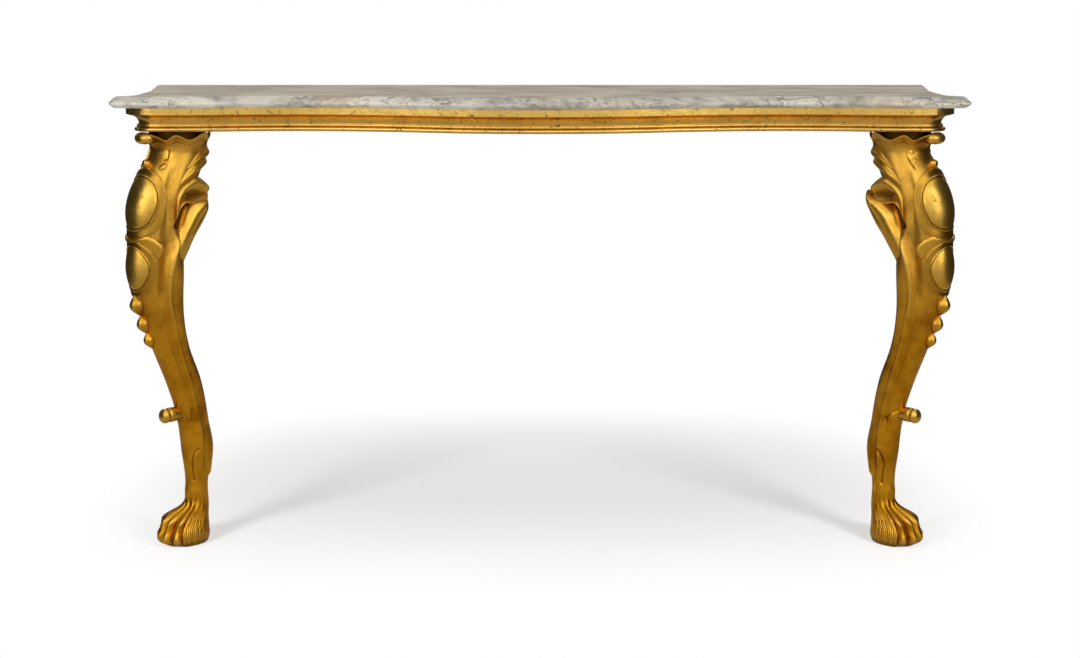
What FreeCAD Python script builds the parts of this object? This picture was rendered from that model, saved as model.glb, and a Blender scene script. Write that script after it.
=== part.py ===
import FreeCAD
import Part
import math
import os
import Sketcher

# Pier table: a serpentine marble slab on a moulded giltwood apron, carried by two diagonal
# cabriole legs in front and by the wall behind.  Millimetres, +Z up, floor at Z = 0, front
# towards -Y, the wall at the +Y end, X = 0 in the middle.

doc = FreeCAD.newDocument("pier_table")
sheet = doc.addObject("Spreadsheet::Sheet", "Sizes")

SIZES = (
    # slab: outline at the nose of its edge; "back" and "fore" count from the ear line
    ("table_height", 900.0),
    ("slab_thickness", 22.0),
    ("ear_to_wall", 440.0),
    ("centre_bow", 65.0),
    ("dip_out", 470.0),
    ("dip_back", 10.0),
    ("shoulder_out", 735.0),
    ("shoulder_fore", 14.0),
    ("ear_run", 62.0),
    ("ear_back", 10.0),
    ("ear_radius", 18.0),
    ("neck_step", 10.0),
    ("back_flare", 43.0),
    ("cove_radius", 40.0),
    ("edge_run", 14.0),
    ("edge_drop", 11.0),
    ("nose_height", 4.0),
    ("undercut", 10.0),
    # apron moulding, measured inwards and downwards from the top of its fascia
    ("apron_inset", 18.0),
    ("apron_height", 46.5),
    ("corner_radius", 60.0),
    ("rail_thickness", 45.0),
    ("fascia_height", 13.0),
    ("step_depth", 7.0),
    ("step_height", 2.5),
    ("cove_size", 16.5),
    ("bead_radius", 3.0),
    ("bead_setback", 22.5),
    ("torus_radius", 3.8),
    ("torus_setback", 18.5),
    ("foot_fillet", 0.7),
    # frame
    ("back_rail_thickness", 25.0),
    ("tenon_length", 15.0),
    ("tenon_thickness", 12.0),
    ("tenon_height", 30.0),
    ("bearer_spacing", 400.0),
    ("bearer_width", 60.0),
    ("bearer_height", 22.0),
    ("bearer_lap", 14.0),
    ("bearer_block_length", 40.0),
    ("bearer_block_height", 16.0),
    ("corner_block_size", 145.0),
    ("corner_block_cut_length", 90.0),
    ("corner_block_drop", 18.0),
    ("rear_block_leg", 70.0),
    ("rear_block_height", 34.0),
    ("peg_diameter", 8.0),
    ("peg_length", 34.0),
    ("screw_diameter", 4.0),
    ("screw_head_diameter", 8.0),
    ("screw_head_height", 2.5),
    ("block_screw_length", 45.0),
    ("screw_grip", 25.0),
    ("screw_edge", 16.0),
    ("screw_low", 9.0),
    ("screw_high", 21.0),
    ("block_bow", 20.0),
    ("plate_screw_length", 18.0),
    ("fixing_inset", 200.0),
    ("fixing_hole", 8.0),
    ("plate_width", 64.0),
    ("plate_height", 30.0),
    ("plate_thickness", 3.0),
    ("plate_screw_spacing", 44.0),
    # leg station and its joints
    ("leg_inset", 105.0),
    ("leg_back", 110.0),
    ("leg_tenon_diameter", 40.0),
    ("leg_tenon_height", 22.0),
    ("bolt_diameter", 10.0),
    ("bolt_depth", 80.0),
    ("bolt_rise", 11.0),
    ("washer_diameter", 26.0),
    ("washer_thickness", 2.0),
    ("nut_width", 17.0),
    ("nut_height", 7.0),
    ("foot_dowel_diameter", 16.0),
    ("foot_dowel_length", 50.0),
    # carved ornament, placed on the ridge of the leg
    ("capital_height", 31.0),
    ("capital_flare", 7.0),
    ("capital_wall", 5.0),
    ("lobe_reach", 118.0),
    ("lobe_depth", 46.0),
    ("lobe_height", 25.0),
    ("lobe_drop", 13.5),
    ("pearl_share", 0.9260),
    ("pearl_diameter", 18.0),
    ("upper_boss_share", 0.8382),
    ("upper_boss_tall", 100.0),
    ("upper_boss_wide", 86.0),
    ("upper_boss_proud", 13.0),
    ("lower_boss_share", 0.6831),
    ("lower_boss_tall", 88.0),
    ("lower_boss_wide", 70.0),
    ("lower_boss_proud", 13.0),
    ("dome_girth", 96.0),
    ("dome_root", 12.0),
    ("garter_share", 0.7565),
    ("garter_tall", 50.0),
    ("garter_wide", 76.0),
    ("garter_proud", 11.0),
    ("husk_share", 0.5977),
    ("husk_pitch", 39.0),
    ("husk_length", 40.0),
    ("husk_diameter", 25.0),
    ("husk_taper", 0.82),
    ("husk_sink", 3.0),
    ("bud_tip_share", 0.3),
    ("scroll_share", 0.3199),
    ("scroll_reach", 88.0),
    ("scroll_length", 44.0),
    ("scroll_diameter", 30.0),
    ("leaf_top_share", 0.9321),
    ("leaf_tip_share", 0.8491),
    ("leaf_tip_back", 23.0),
    ("leaf_top_fore", 14.0),
    ("leaf_lip", 21.0),
    ("leaf_waist_fore", 20.0),
    ("leaf_waist_drop", 52.0),
    ("leaf_foot_share", 0.6915),
    ("leaf_foot_fore", 38.0),
    ("leaf_gap", 28.0),
    ("leaf_span_width", 90.0),
    ("slit_share", 0.8082),
    ("slit_fore", 30.0),
    ("slit_length", 46.0),
    ("slit_width", 11.0),
    ("slit_lean", 28.0),
    # paw
    ("toe_diameter", 30.0),
    ("toe_height", 17.0),
    ("toe_ring_depth", 41.0),
    ("toe_ring_width", 33.0),
    ("toe_spread", 36.0),
)

# Stations of the cabriole leg from the neck down to the ankle.  "share" is the height above
# the floor as a share of the leg's height, "fore" is how far the middle of the section stands
# out along the diagonal, "depth" is the size along the diagonal and "width" the size across it.
LEG_STATIONS = (
    ("neck", 0.9501, 22.0, 108.0, 106.0),
    ("crown", 0.8960, 46.0, 122.0, 108.0),
    ("knee", 0.8298, 72.0, 112.0, 102.0),
    ("garter_line", 0.7456, 80.0, 108.0, 96.0),
    ("calf", 0.6554, 83.0, 106.0, 88.0),
    ("stocking", 0.5713, 75.0, 88.0, 74.0),
    ("shin_top", 0.4847, 57.0, 76.0, 60.0),
    ("shin", 0.3981, 31.0, 73.0, 56.0),
    ("hock", 0.3187, 15.0, 66.0, 50.0),
    ("fetlock", 0.2297, 8.0, 63.0, 49.0),
    ("ankle", 0.1287, 11.0, 48.0, 41.0),
    ("pastern", 0.0842, 16.0, 58.0, 50.0),
)

# The paw below the pastern, by the same sizes, with its heights in millimetres.
PAW_STATIONS = (
    ("instep", 52.0, 32.0, 84.0, 70.0),
    ("knuckle", 30.0, 42.0, 102.0, 86.0),
    ("pad", 10.0, 42.0, 102.0, 86.0),
    ("sole", 0.0, 40.0, 92.0, 76.0),
)

STATION_SIZES = ("fore", "depth", "width")


def put_in_sheet():
    """Write every driving dimension to the sheet, one named cell each."""
    rows = list(SIZES)
    for level, stations in (("share", LEG_STATIONS), ("height", PAW_STATIONS)):
        for station in stations:
            for word, value in zip((level,) + STATION_SIZES, station[1:]):
                rows.append((station[0] + "_" + word, value))
    for number, (alias, value) in enumerate(rows, start=1):
        sheet.set("A%d" % number, alias)
        sheet.set("B%d" % number, repr(value))
        sheet.setAlias("B%d" % number, alias)
    doc.recompute()
    return {alias: float(sheet.get(alias)) for alias, value in rows}


size = put_in_sheet()


# ------------------------------------------------------------------ derived places

DEPTH = size["ear_to_wall"] + size["centre_bow"]
WALL_Y = DEPTH / 2
EAR_Y = WALL_Y - size["ear_to_wall"]
SLAB_UNDER = size["table_height"] - size["slab_thickness"]
APRON_UNDER = SLAB_UNDER - size["apron_height"]
FASCIA_Y = EAR_Y - size["shoulder_fore"] + size["apron_inset"]
FASCIA_X = size["shoulder_out"] + size["corner_radius"]
RAIL_INNER_X = FASCIA_X - size["rail_thickness"]
LEG_OUT = FASCIA_X - size["leg_inset"]
BACK_RAIL_Y = WALL_Y - size["back_rail_thickness"]
MITRE_Y = FASCIA_Y + size["corner_radius"]
SIDES = (("left", -1), ("right", 1))
LEG_TURN = {"left": 225.0, "right": 315.0}


def vec(x, y, z=0.0):
    return FreeCAD.Vector(x, y, z)


def keep(name, shape, place=None):
    """One sub-part of free shape: its own object, label and placement."""
    piece = doc.addObject("Part::Feature", name)
    piece.Label = name
    piece.Shape = shape
    if place is not None:
        piece.Placement = place
    return piece


def bind(thing, **formulas):
    for prop, formula in formulas.items():
        thing.setExpression(prop.replace("__", "."), formula)
    return thing


def prism(corners, low, high):
    """Upright prism on a plan polygon."""
    points = [vec(x, y, low) for x, y in corners]
    face = Part.Face(Part.makePolygon(points + points[:1]))
    return face.extrude(vec(0, 0, high - low))


def tidy(shape):
    """The single solid of a cut piece, or a compound where the piece is a set."""
    return shape.Solids[0] if len(shape.Solids) == 1 else Part.makeCompound(shape.Solids)


# ------------------------------------------------------------------ plan curves

def serpentine_arcs():
    """Front of the slab as tangent arcs, middle to shoulder: (centre x, centre y, radius).

    A radius is positive where the outline bulges and negative where it is hollow, so an
    inset outline has the same centres and every radius less the inset.
    """
    bow_y = EAR_Y - size["centre_bow"]
    dip_y = EAR_Y + size["dip_back"]
    shoulder_y = EAR_Y - size["shoulder_fore"]
    sweep_in = dip_y - bow_y
    sweep_out = dip_y - shoulder_y
    run = size["shoulder_out"] - size["dip_out"]
    inner = (size["dip_out"] ** 2 + sweep_in ** 2) / (4 * sweep_in)
    outer = (run ** 2 + sweep_out ** 2) / (4 * sweep_out)
    return [
        (0.0, bow_y + inner, inner),
        (size["dip_out"], dip_y - inner, -inner),
        (size["dip_out"], dip_y - outer, -outer),
        (size["shoulder_out"], shoulder_y + outer, outer),
    ]


def ear_arcs():
    """The shoulder, the ear, the cove behind it and the long flare back to the wall."""
    ear = size["ear_radius"]
    out = size["ear_run"]
    ear_x = size["shoulder_out"] + out
    neck_x = ear_x - size["neck_step"]
    back = size["ear_back"] + size["shoulder_fore"]
    shoulder = (out ** 2 + back ** 2 - ear ** 2) / (2 * (back - ear))
    cove = size["cove_radius"]
    cove_x = neck_x + cove
    fall = math.sqrt((cove + ear) ** 2 - (cove_x - ear_x) ** 2)
    neck_y = EAR_Y + size["ear_back"] + fall
    flare_x = size["back_flare"]
    flare_y = WALL_Y - neck_y
    flare = (flare_x ** 2 + flare_y ** 2) / (2 * flare_x)
    return [
        (size["shoulder_out"], EAR_Y - size["shoulder_fore"] + shoulder, shoulder),
        (ear_x, EAR_Y + size["ear_back"], ear),
        (cove_x, neck_y, -cove),
        (neck_x + flare, neck_y, -flare),
    ]


def arc_edge(centre, start, end, z):
    """The short arc about a centre from start to end."""
    radius = math.hypot(start[0] - centre[0], start[1] - centre[1])
    mid_x = (start[0] + end[0]) / 2 - centre[0]
    mid_y = (start[1] + end[1]) / 2 - centre[1]
    stretch = radius / math.hypot(mid_x, mid_y)
    mid = vec(centre[0] + mid_x * stretch, centre[1] + mid_y * stretch, z)
    return Part.Arc(vec(start[0], start[1], z), mid, vec(end[0], end[1], z)).toShape()


def half_chain(arcs, inset, last):
    """Joints of an inset chain of arcs: from the middle of the front to its last point."""
    joints = [(0.0, arcs[0][1] - (arcs[0][2] - inset))]
    for (ax, ay, ar), (bx, by, br) in zip(arcs, arcs[1:]):
        share = (ar - inset) / (ar - br)
        joints.append((ax + (bx - ax) * share, ay + (by - ay) * share))
    joints.append(last)
    return joints


def chain_edges(arcs, joints, z):
    """Edges of the whole chain, from the far left end over the front to the far right end."""
    right = []
    left = []
    for arc, start, end in zip(arcs, joints, joints[1:]):
        right.append(arc_edge(arc[:2], start, end, z))
        left.append(arc_edge((-arc[0], arc[1]), (-end[0], end[1]), (-start[0], start[1]), z))
    return left[::-1] + right


def slab_wire(inset, z):
    """Slab outline at one level; the back stays straight on the wall."""
    arcs = serpentine_arcs() + ear_arcs()
    flare_x, flare_y, flare_r = arcs[-1]
    reach = math.sqrt((flare_r - inset) ** 2 - (WALL_Y - flare_y) ** 2)
    corner = (flare_x - reach, WALL_Y)
    edges = chain_edges(arcs, half_chain(arcs, inset, corner), z)
    edges.append(Part.makeLine(vec(corner[0], WALL_Y, z), vec(-corner[0], WALL_Y, z)))
    return Part.Wire(edges)


def apron_path():
    """Top outer edge of the fascia: left end at the wall, round the front, to the right end."""
    inset = size["apron_inset"]
    corner = size["corner_radius"] + inset
    arcs = serpentine_arcs()
    arcs.append((size["shoulder_out"], EAR_Y - size["shoulder_fore"] + corner, corner))
    side_start = (FASCIA_X, MITRE_Y)
    edges = chain_edges(arcs, half_chain(arcs, inset, side_start), SLAB_UNDER)
    run = vec(FASCIA_X, WALL_Y, SLAB_UNDER)
    turn = vec(FASCIA_X, MITRE_Y, SLAB_UNDER)
    mirror_run = vec(-run.x, run.y, run.z)
    mirror_turn = vec(-turn.x, turn.y, turn.z)
    first = Part.makeLine(mirror_run, mirror_turn)
    last = Part.makeLine(turn, run)
    return Part.Wire([first] + edges + [last])


# ------------------------------------------------------------------ marble slab

def slab_shape():
    """Flat slab; the edge slopes out from the top face to a nose, then cuts back below."""
    nose_low = SLAB_UNDER + size["slab_thickness"] - size["edge_drop"] - size["nose_height"]
    levels = (
        (size["undercut"], SLAB_UNDER),
        (0.0, nose_low),
        (0.0, nose_low + size["nose_height"]),
        (size["edge_run"], size["table_height"]),
    )
    wires = [slab_wire(inset, z) for inset, z in levels]
    return Part.makeLoft(wires, True, True)


keep("marble_top", slab_shape())


# ------------------------------------------------------------------ apron rails

def moulding_wire():
    """Section of the rail at its left end: fascia, step, cove, bead, torus."""
    x = -FASCIA_X
    z = SLAB_UNDER
    y = WALL_Y
    fascia = z - size["fascia_height"]
    step = size["step_depth"]
    cove_top = fascia - size["step_height"]
    cove = size["cove_size"]
    cove_low = cove_top - cove
    bead = size["bead_radius"]
    bead_x = x + size["bead_setback"]
    torus = size["torus_radius"]
    torus_x = x + size["torus_setback"]
    torus_top = z - size["apron_height"] + 2 * torus + size["foot_fillet"]
    bead_low = cove_low - 2 * bead
    half = math.sqrt(0.5)
    cove_mid = vec(x + step + cove * half, y, cove_low + cove * half)
    back = x + size["rail_thickness"]
    edges = [
        Part.makeLine(vec(x, y, z), vec(x, y, fascia)),
        Part.makeLine(vec(x, y, fascia), vec(x + step, y, cove_top)),
        Part.Arc(vec(x + step, y, cove_top), cove_mid, vec(x + step + cove, y, cove_low)).toShape(),
        Part.makeLine(vec(x + step + cove, y, cove_low), vec(bead_x, y, cove_low)),
        Part.Arc(vec(bead_x, y, cove_low), vec(bead_x - bead, y, cove_low - bead),
                 vec(bead_x, y, bead_low)).toShape(),
        Part.makeLine(vec(bead_x, y, bead_low), vec(torus_x, y, torus_top)),
        Part.Arc(vec(torus_x, y, torus_top), vec(torus_x - torus, y, torus_top - torus),
                 vec(torus_x, y, torus_top - 2 * torus)).toShape(),
        Part.makeLine(vec(torus_x, y, torus_top - 2 * torus), vec(bead_x, y, APRON_UNDER)),
        Part.makeLine(vec(bead_x, y, APRON_UNDER), vec(back, y, APRON_UNDER)),
        Part.makeLine(vec(back, y, APRON_UNDER), vec(back, y, z)),
        Part.makeLine(vec(back, y, z), vec(x, y, z)),
    ]
    return Part.Wire(edges)


def apron_run():
    """The whole moulded run from wall to wall, before it is mitred at the corners."""
    shell = Part.BRepOffsetAPI.MakePipeShell(apron_path())
    shell.setBiNormalMode(vec(0, 0, 1))
    shell.add(moulding_wire())
    shell.build()
    shell.makeSolid()
    return shell.shape()


OVERCUT = 1.0
MITRE_REACH = size["corner_radius"] + size["apron_inset"] + size["centre_bow"]
RUN = apron_run()


def front_mitre():
    """Plan of the front rail: everything in front of the two mitre lines at the corners."""
    middle = size["shoulder_out"]
    outer = middle + MITRE_REACH
    inner = middle - MITRE_REACH
    front = MITRE_Y - MITRE_REACH
    back = MITRE_Y + MITRE_REACH
    corners = [(-outer, front), (outer, front), (inner, back), (-inner, back)]
    return prism(corners, APRON_UNDER - OVERCUT, SLAB_UNDER + OVERCUT)


# ------------------------------------------------------------------ helpers for bound pieces

def box(name, length, width, height, x, y, z):
    """A plain block whose sizes and place are formulas on the sheet."""
    piece = doc.addObject("Part::Box", name)
    bind(piece, Length=length, Width=width, Height=height)
    return bind(piece, Placement__Base__x=x, Placement__Base__y=y, Placement__Base__z=z)


def cylinder(name, radius, height, x, y, z, turn=None):
    """A round bar, upright unless turned; every size and place is a formula."""
    piece = doc.addObject("Part::Cylinder", name)
    if turn is not None:
        piece.Placement = FreeCAD.Placement(vec(0, 0), turn)
    bind(piece, Radius=radius, Height=height)
    return bind(piece, Placement__Base__x=x, Placement__Base__y=y, Placement__Base__z=z)


def group(name, links):
    """Identical pieces that share one node."""
    piece = doc.addObject("Part::Compound", name)
    piece.Label = name
    piece.Links = links
    return piece


def fused(name, pieces):
    piece = doc.addObject("Part::MultiFuse", name)
    piece.Shapes = pieces
    return piece


def cut(name, base, tool):
    piece = doc.addObject("Part::Cut", name)
    piece.Label = name
    piece.Base = base
    piece.Tool = tool
    return piece


# Rough size of a sketch before its formulas pull the corners into place.
SKETCH_START = 100.0


def plan_body(name, corners, length, z):
    """PartDesign body: a plan polygon tied to the sheet corner by corner, padded upwards."""
    body = doc.addObject("PartDesign::Body", name)
    body.Label = name
    sketch = body.newObject("Sketcher::SketchObject", name + "_plan")
    plane = [item for item in body.Origin.OriginFeatures if item.Role == "XY_Plane"][0]
    sketch.AttachmentSupport = [(plane, "")]
    sketch.MapMode = "FlatFace"
    count = len(corners)
    guesses = [vec(*unit) * SKETCH_START for unit, x, y in corners]
    for index in range(count):
        line = Part.LineSegment(guesses[index], guesses[(index + 1) % count])
        sketch.addGeometry(line, False)
    for index in range(count):
        after = (index + 1) % count
        sketch.addConstraint(Sketcher.Constraint("Coincident", index, 2, after, 1))
    for index, (unit, x, y) in enumerate(corners):
        for kind, formula, guess in (("DistanceX", x, unit[0]), ("DistanceY", y, unit[1])):
            rule = Sketcher.Constraint(kind, -1, 1, index, 1, guess * SKETCH_START)
            number = sketch.addConstraint(rule)
            sketch.setExpression("Constraints[%d]" % number, formula)
    pad = body.newObject("PartDesign::Pad", name + "_pad")
    pad.Profile = sketch
    pad.setExpression("Length", length)
    body.setExpression("Placement.Base.z", z)
    return body


# ------------------------------------------------------------------ formulas shared by pieces

WALL = "(Sizes.ear_to_wall + Sizes.centre_bow) / 2"
EAR = "(Sizes.centre_bow - Sizes.ear_to_wall) / 2"
UNDER = "(Sizes.table_height - Sizes.slab_thickness)"
APRON_LOW = "(" + UNDER + " - Sizes.apron_height)"
SIDE_INNER = "(Sizes.shoulder_out + Sizes.corner_radius - Sizes.rail_thickness)"
LEG_MIDDLE = "(Sizes.shoulder_out + Sizes.corner_radius - Sizes.leg_inset)"
BACK_INNER = "(" + WALL + " - Sizes.back_rail_thickness)"
INSET = "(Sizes.apron_inset + Sizes.rail_thickness)"
SWING = "(Sizes.centre_bow + Sizes.dip_back)"
BEND = "((Sizes.dip_out^2 + " + SWING + "^2) / (4 * " + SWING + "))"
SPREAD = "(Sizes.dip_out - Sizes.bearer_spacing)"
MIDDLE_INNER = "(" + EAR + " - Sizes.centre_bow + " + INSET + ")"
OUTER_INNER = ("(" + EAR + " + Sizes.dip_back - " + BEND
               + " + sqrt((" + BEND + " + " + INSET + ")^2 - " + SPREAD + "^2))")


# ------------------------------------------------------------------ cross bearers

def bearer(name, middle, front):
    """A cross bearer lapped into the front and back rails, flush below the slab."""
    left = middle + " - Sizes.bearer_width / 2"
    right = middle + " + Sizes.bearer_width / 2"
    low = front + " - Sizes.bearer_lap"
    high = BACK_INNER + " + Sizes.bearer_lap"
    corners = (((-1, -1), left, low), ((1, -1), right, low),
               ((1, 1), right, high), ((-1, 1), left, high))
    return plan_body(name, corners, "Sizes.bearer_height", UNDER + " - Sizes.bearer_height")


BEARER_SEATS = (
    ("left", "-Sizes.bearer_spacing", OUTER_INNER),
    ("middle", "0", MIDDLE_INNER),
    ("right", "Sizes.bearer_spacing", OUTER_INNER),
)
BEARERS = [bearer("bearer_bar_" + word, middle, front) for word, middle, front in BEARER_SEATS]
doc.recompute()


# ------------------------------------------------------------------ wall fixing

ALONG_WALL = FreeCAD.Rotation(vec(1, 0, 0), -90)
FIXING_Z = APRON_LOW + " + Sizes.apron_height / 2"


def wall_plate(side, sign):
    """Iron plate let in flush on the inner face of the back rail, with its three holes."""
    middle = "%d * (" % sign + SIDE_INNER + " - Sizes.fixing_inset)"
    blank = box("plate_blank_" + side, "Sizes.plate_width", "Sizes.plate_thickness",
                "Sizes.plate_height", middle + " - Sizes.plate_width / 2", BACK_INNER,
                FIXING_Z + " - Sizes.plate_height / 2")
    bores = [cylinder("fixing_bore_" + side, "Sizes.fixing_hole / 2",
                      "Sizes.back_rail_thickness", middle, BACK_INNER, FIXING_Z, ALONG_WALL)]
    screws = []
    for step in (-1, 1):
        x = middle + " + %d * Sizes.plate_screw_spacing / 2" % step
        screws.append(cylinder("plate_screw_%s_%d" % (side, step + 2), "Sizes.screw_diameter / 2",
                               "Sizes.plate_screw_length", x, BACK_INNER, FIXING_Z, ALONG_WALL))
    plate = cut("wall_plate_" + side, blank, fused("plate_holes_" + side, bores + screws))
    return blank, bores, screws, plate


PLATES = {side: wall_plate(side, sign) for side, sign in SIDES}


# ------------------------------------------------------------------ back rail and pegs

def back_rail():
    """Back rail between the side rails, with a tenon at each end and laps for the bearers."""
    board = box("back_board", "2 * " + SIDE_INNER, "Sizes.back_rail_thickness",
                "Sizes.apron_height", "-" + SIDE_INNER, BACK_INNER, APRON_LOW)
    reach = SIDE_INNER + " + Sizes.tenon_length"
    tenon_y = BACK_INNER + " + (Sizes.back_rail_thickness - Sizes.tenon_thickness) / 2"
    tenon_z = APRON_LOW + " + (Sizes.apron_height - Sizes.tenon_height) / 2"
    tenons = box("back_tenons", "2 * (" + reach + ")", "Sizes.tenon_thickness",
                 "Sizes.tenon_height", "-(" + reach + ")", tenon_y, tenon_z)
    tools = list(BEARERS)
    for side, sign in SIDES:
        blank, bores, screws, plate = PLATES[side]
        tools += [blank] + bores + screws
    whole = fused("back_whole", [board, tenons])
    return cut("back_rail_blank", whole, fused("back_cuts", tools))


BACK_BLANK = back_rail()


def rail_pegs():
    """Pegs driven up from below: one through each tenon, one through each bearer lap."""
    pegs = []
    radius = "Sizes.peg_diameter / 2"
    for side, sign in SIDES:
        x = "%d * (" % sign + SIDE_INNER + " + Sizes.tenon_length / 2)"
        y = BACK_INNER + " + Sizes.back_rail_thickness / 2"
        pegs.append(cylinder("tenon_peg_" + side, radius, "Sizes.peg_length", x, y, APRON_LOW))
    for word, x, front in BEARER_SEATS:
        laps = (front + " - Sizes.bearer_lap / 2", BACK_INNER + " + Sizes.bearer_lap / 2")
        for end, y in zip(("front", "back"), laps):
            name = "lap_peg_%s_%s" % (word, end)
            pegs.append(cylinder(name, radius, "Sizes.peg_length", x, y, APRON_LOW))
    return pegs


PEGS = rail_pegs()
group("rail_pegs", PEGS)
LAP_PEGS = fused("lap_peg_set", PEGS[2:])
for (word, middle, front), bar in zip(BEARER_SEATS, BEARERS):
    cut("cross_bearer_" + word, bar, LAP_PEGS)
doc.recompute()

PEG_SHAPE = Part.makeCompound([peg.Shape for peg in PEGS])
BEARER_SHAPE = Part.makeCompound([item.Shape for item in BEARERS])


# ------------------------------------------------------------------ screws of the corner blocks

def screw_solids(head, way):
    """Shank and head of one wood screw; the head ends at its seat and the shank runs on."""
    shank = Part.makeCylinder(size["screw_diameter"] / 2, size["block_screw_length"], head, way)
    top = head - way * size["screw_head_height"]
    cap = Part.makeCylinder(size["screw_head_diameter"] / 2, size["screw_head_height"], top, way)
    return tidy(shank.fuse(cap))


def screw_pocket(head, way):
    """Clear hole bored for a screw head from the inner side of its block."""
    start = head - way * size["corner_block_size"]
    return Part.makeCylinder(size["screw_head_diameter"] / 2, size["corner_block_size"], start, way)


def block_screw_seats():
    """Head seat and direction of every block screw: two in each front and each rear block."""
    seats = {}
    grip = size["screw_grip"]
    low = APRON_UNDER + size["screw_low"]
    high = APRON_UNDER + size["screw_high"]
    for side, sign in SIDES:
        front_in = FASCIA_Y + size["rail_thickness"] + grip
        back_in = BACK_RAIL_Y - grip
        side_in = sign * (RAIL_INNER_X - grip)
        far = size["corner_block_size"] - size["screw_edge"]
        near = size["rear_block_leg"] - grip - size["screw_edge"]
        seats["front_" + side] = [
            (vec(side_in, FASCIA_Y + size["rail_thickness"] + far, low), vec(sign, 0)),
            (vec(sign * (RAIL_INNER_X - far), front_in + size["block_bow"], high), vec(0, -1)),
        ]
        seats["rear_" + side] = [
            (vec(side_in, BACK_RAIL_Y - near, low), vec(sign, 0)),
            (vec(sign * (RAIL_INNER_X - near), back_in, high), vec(0, 1)),
        ]
    return seats


SEATS = block_screw_seats()
ALL_SEATS = [seat for pair in SEATS.values() for seat in pair]
SCREWS = Part.makeCompound([screw_solids(*seat) for seat in ALL_SEATS])
keep("block_screws", SCREWS)


# ------------------------------------------------------------------ legs: station and stack

def leg_place(side, sign):
    """Local X runs out along the diagonal, Z up, with the origin on the floor."""
    foot = vec(sign * LEG_OUT, EAR_Y + size["leg_back"])
    return FreeCAD.Placement(foot, FreeCAD.Rotation(vec(0, 0, 1), LEG_TURN[side]))


def section(z, fore, depth, width):
    """One oval section of the leg; its seam lies at the back, clear of the carved ridge."""
    oval = Part.Ellipse(vec(fore - depth / 2, 0, z), vec(fore, -width / 2, z), vec(fore, 0, z))
    return Part.Wire(oval.toShape())


def up_leg(alias):
    """Height above the floor of a place that is given as a share of the leg's height."""
    return size[alias] * APRON_UNDER


def station(name):
    return [up_leg(name + "_share")] + [size[name + "_" + word] for word in STATION_SIZES]


def paw_station(name):
    return [size[name + "_" + word] for word in ("height",) + STATION_SIZES]


def loft(levels):
    return Part.makeLoft([section(*level) for level in levels], True, False)


NECK = station("neck")
TENON_FORE = NECK[1]
BLOCK_TOP = SLAB_UNDER - size["corner_block_drop"]
BOLT_LOW = APRON_UNDER - size["bolt_depth"]


def upright(diameter, low, high, fore=TENON_FORE):
    return Part.makeCylinder(diameter / 2, high - low, vec(fore, 0, low))


def leg_body():
    """The post alone: a straight neck over an S-shaped loft that ends at the pastern."""
    cabriole = loft([station(item[0]) for item in LEG_STATIONS])
    return tidy(cabriole.fuse(NECK_BAR))


def spheroid(fore, z, girth, length, way):
    """Solid of revolution of an ellipse: girth across, length along the given way."""
    long_one = length >= girth
    along = vec(length / 2, 0)
    aside = vec(0, girth / 2)
    start = 0.0 if long_one else -math.pi / 2
    tips = (along, aside) if long_one else (aside, along)
    ellipse = Part.Ellipse(tips[0], tips[1], vec(0, 0))
    curve = Part.Arc(ellipse, start, start + math.pi).toShape()
    ends = [vertex.Point for vertex in curve.Vertexes]
    half = Part.Face(Part.Wire([curve, Part.makeLine(ends[1], ends[0])]))
    solid = half.revolve(vec(0, 0), vec(1, 0, 0), 360)
    solid.Placement = FreeCAD.Placement(vec(fore, 0, z), FreeCAD.Rotation(vec(1, 0, 0), way))
    return solid


def bud(fore, z, girth, length, way):
    """Turned bud along the given way: fullest in the middle, with a small flat at each tip."""
    tip = girth / 2 * size["bud_tip_share"]
    reach = length / 2
    swell = Part.Arc(vec(-reach, tip), vec(0, girth / 2), vec(reach, tip)).toShape()
    rest = Part.makePolygon([vec(reach, tip), vec(reach, 0), vec(-reach, 0), vec(-reach, tip)])
    half = Part.Face(Part.Wire([swell] + rest.Edges))
    half.rotate(vec(0, 0), vec(1, 0, 0), 90)
    solid = half.revolve(vec(0, 0), vec(1, 0, 0), 360)
    solid.Placement = FreeCAD.Placement(vec(fore, 0, z), FreeCAD.Rotation(vec(1, 0, 0), way))
    return solid


UP = vec(0, 0, 1)
FORWARD = vec(1, 0, 0)
SLICE_POINTS = 90
NECK_BAR = Part.Face(section(*NECK)).extrude(vec(0, 0, APRON_UNDER - NECK[0]))
POST = leg_body()
PASTERN = station("pastern")
BOLT = upright(size["bolt_diameter"], BOLT_LOW, BLOCK_TOP + size["bolt_rise"])
TENON = upright(size["leg_tenon_diameter"], APRON_UNDER, APRON_UNDER + size["leg_tenon_height"])
DOWEL_LOW = PASTERN[0] - size["foot_dowel_length"] / 2
DOWEL_TOP = DOWEL_LOW + size["foot_dowel_length"]
DOWEL = upright(size["foot_dowel_diameter"], DOWEL_LOW, DOWEL_TOP, PASTERN[1])


def ridge(z, across=0.0):
    """How far forward the surface of the post stands at one height, on or beside its ridge."""
    ring = POST.slice(vec(0, 0, 1), z)[0].discretize(SLICE_POINTS)
    front = max(point.x for point in ring)
    back = min(point.x for point in ring)
    half_width = max(point.y for point in ring)
    bulge = math.sqrt(1 - min(1.0, abs(across) / half_width) ** 2)
    return (front + back) / 2 + (front - back) / 2 * bulge


def leg_post():
    return tidy(POST.fuse(TENON).cut(BOLT).cut(DOWEL))


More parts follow.
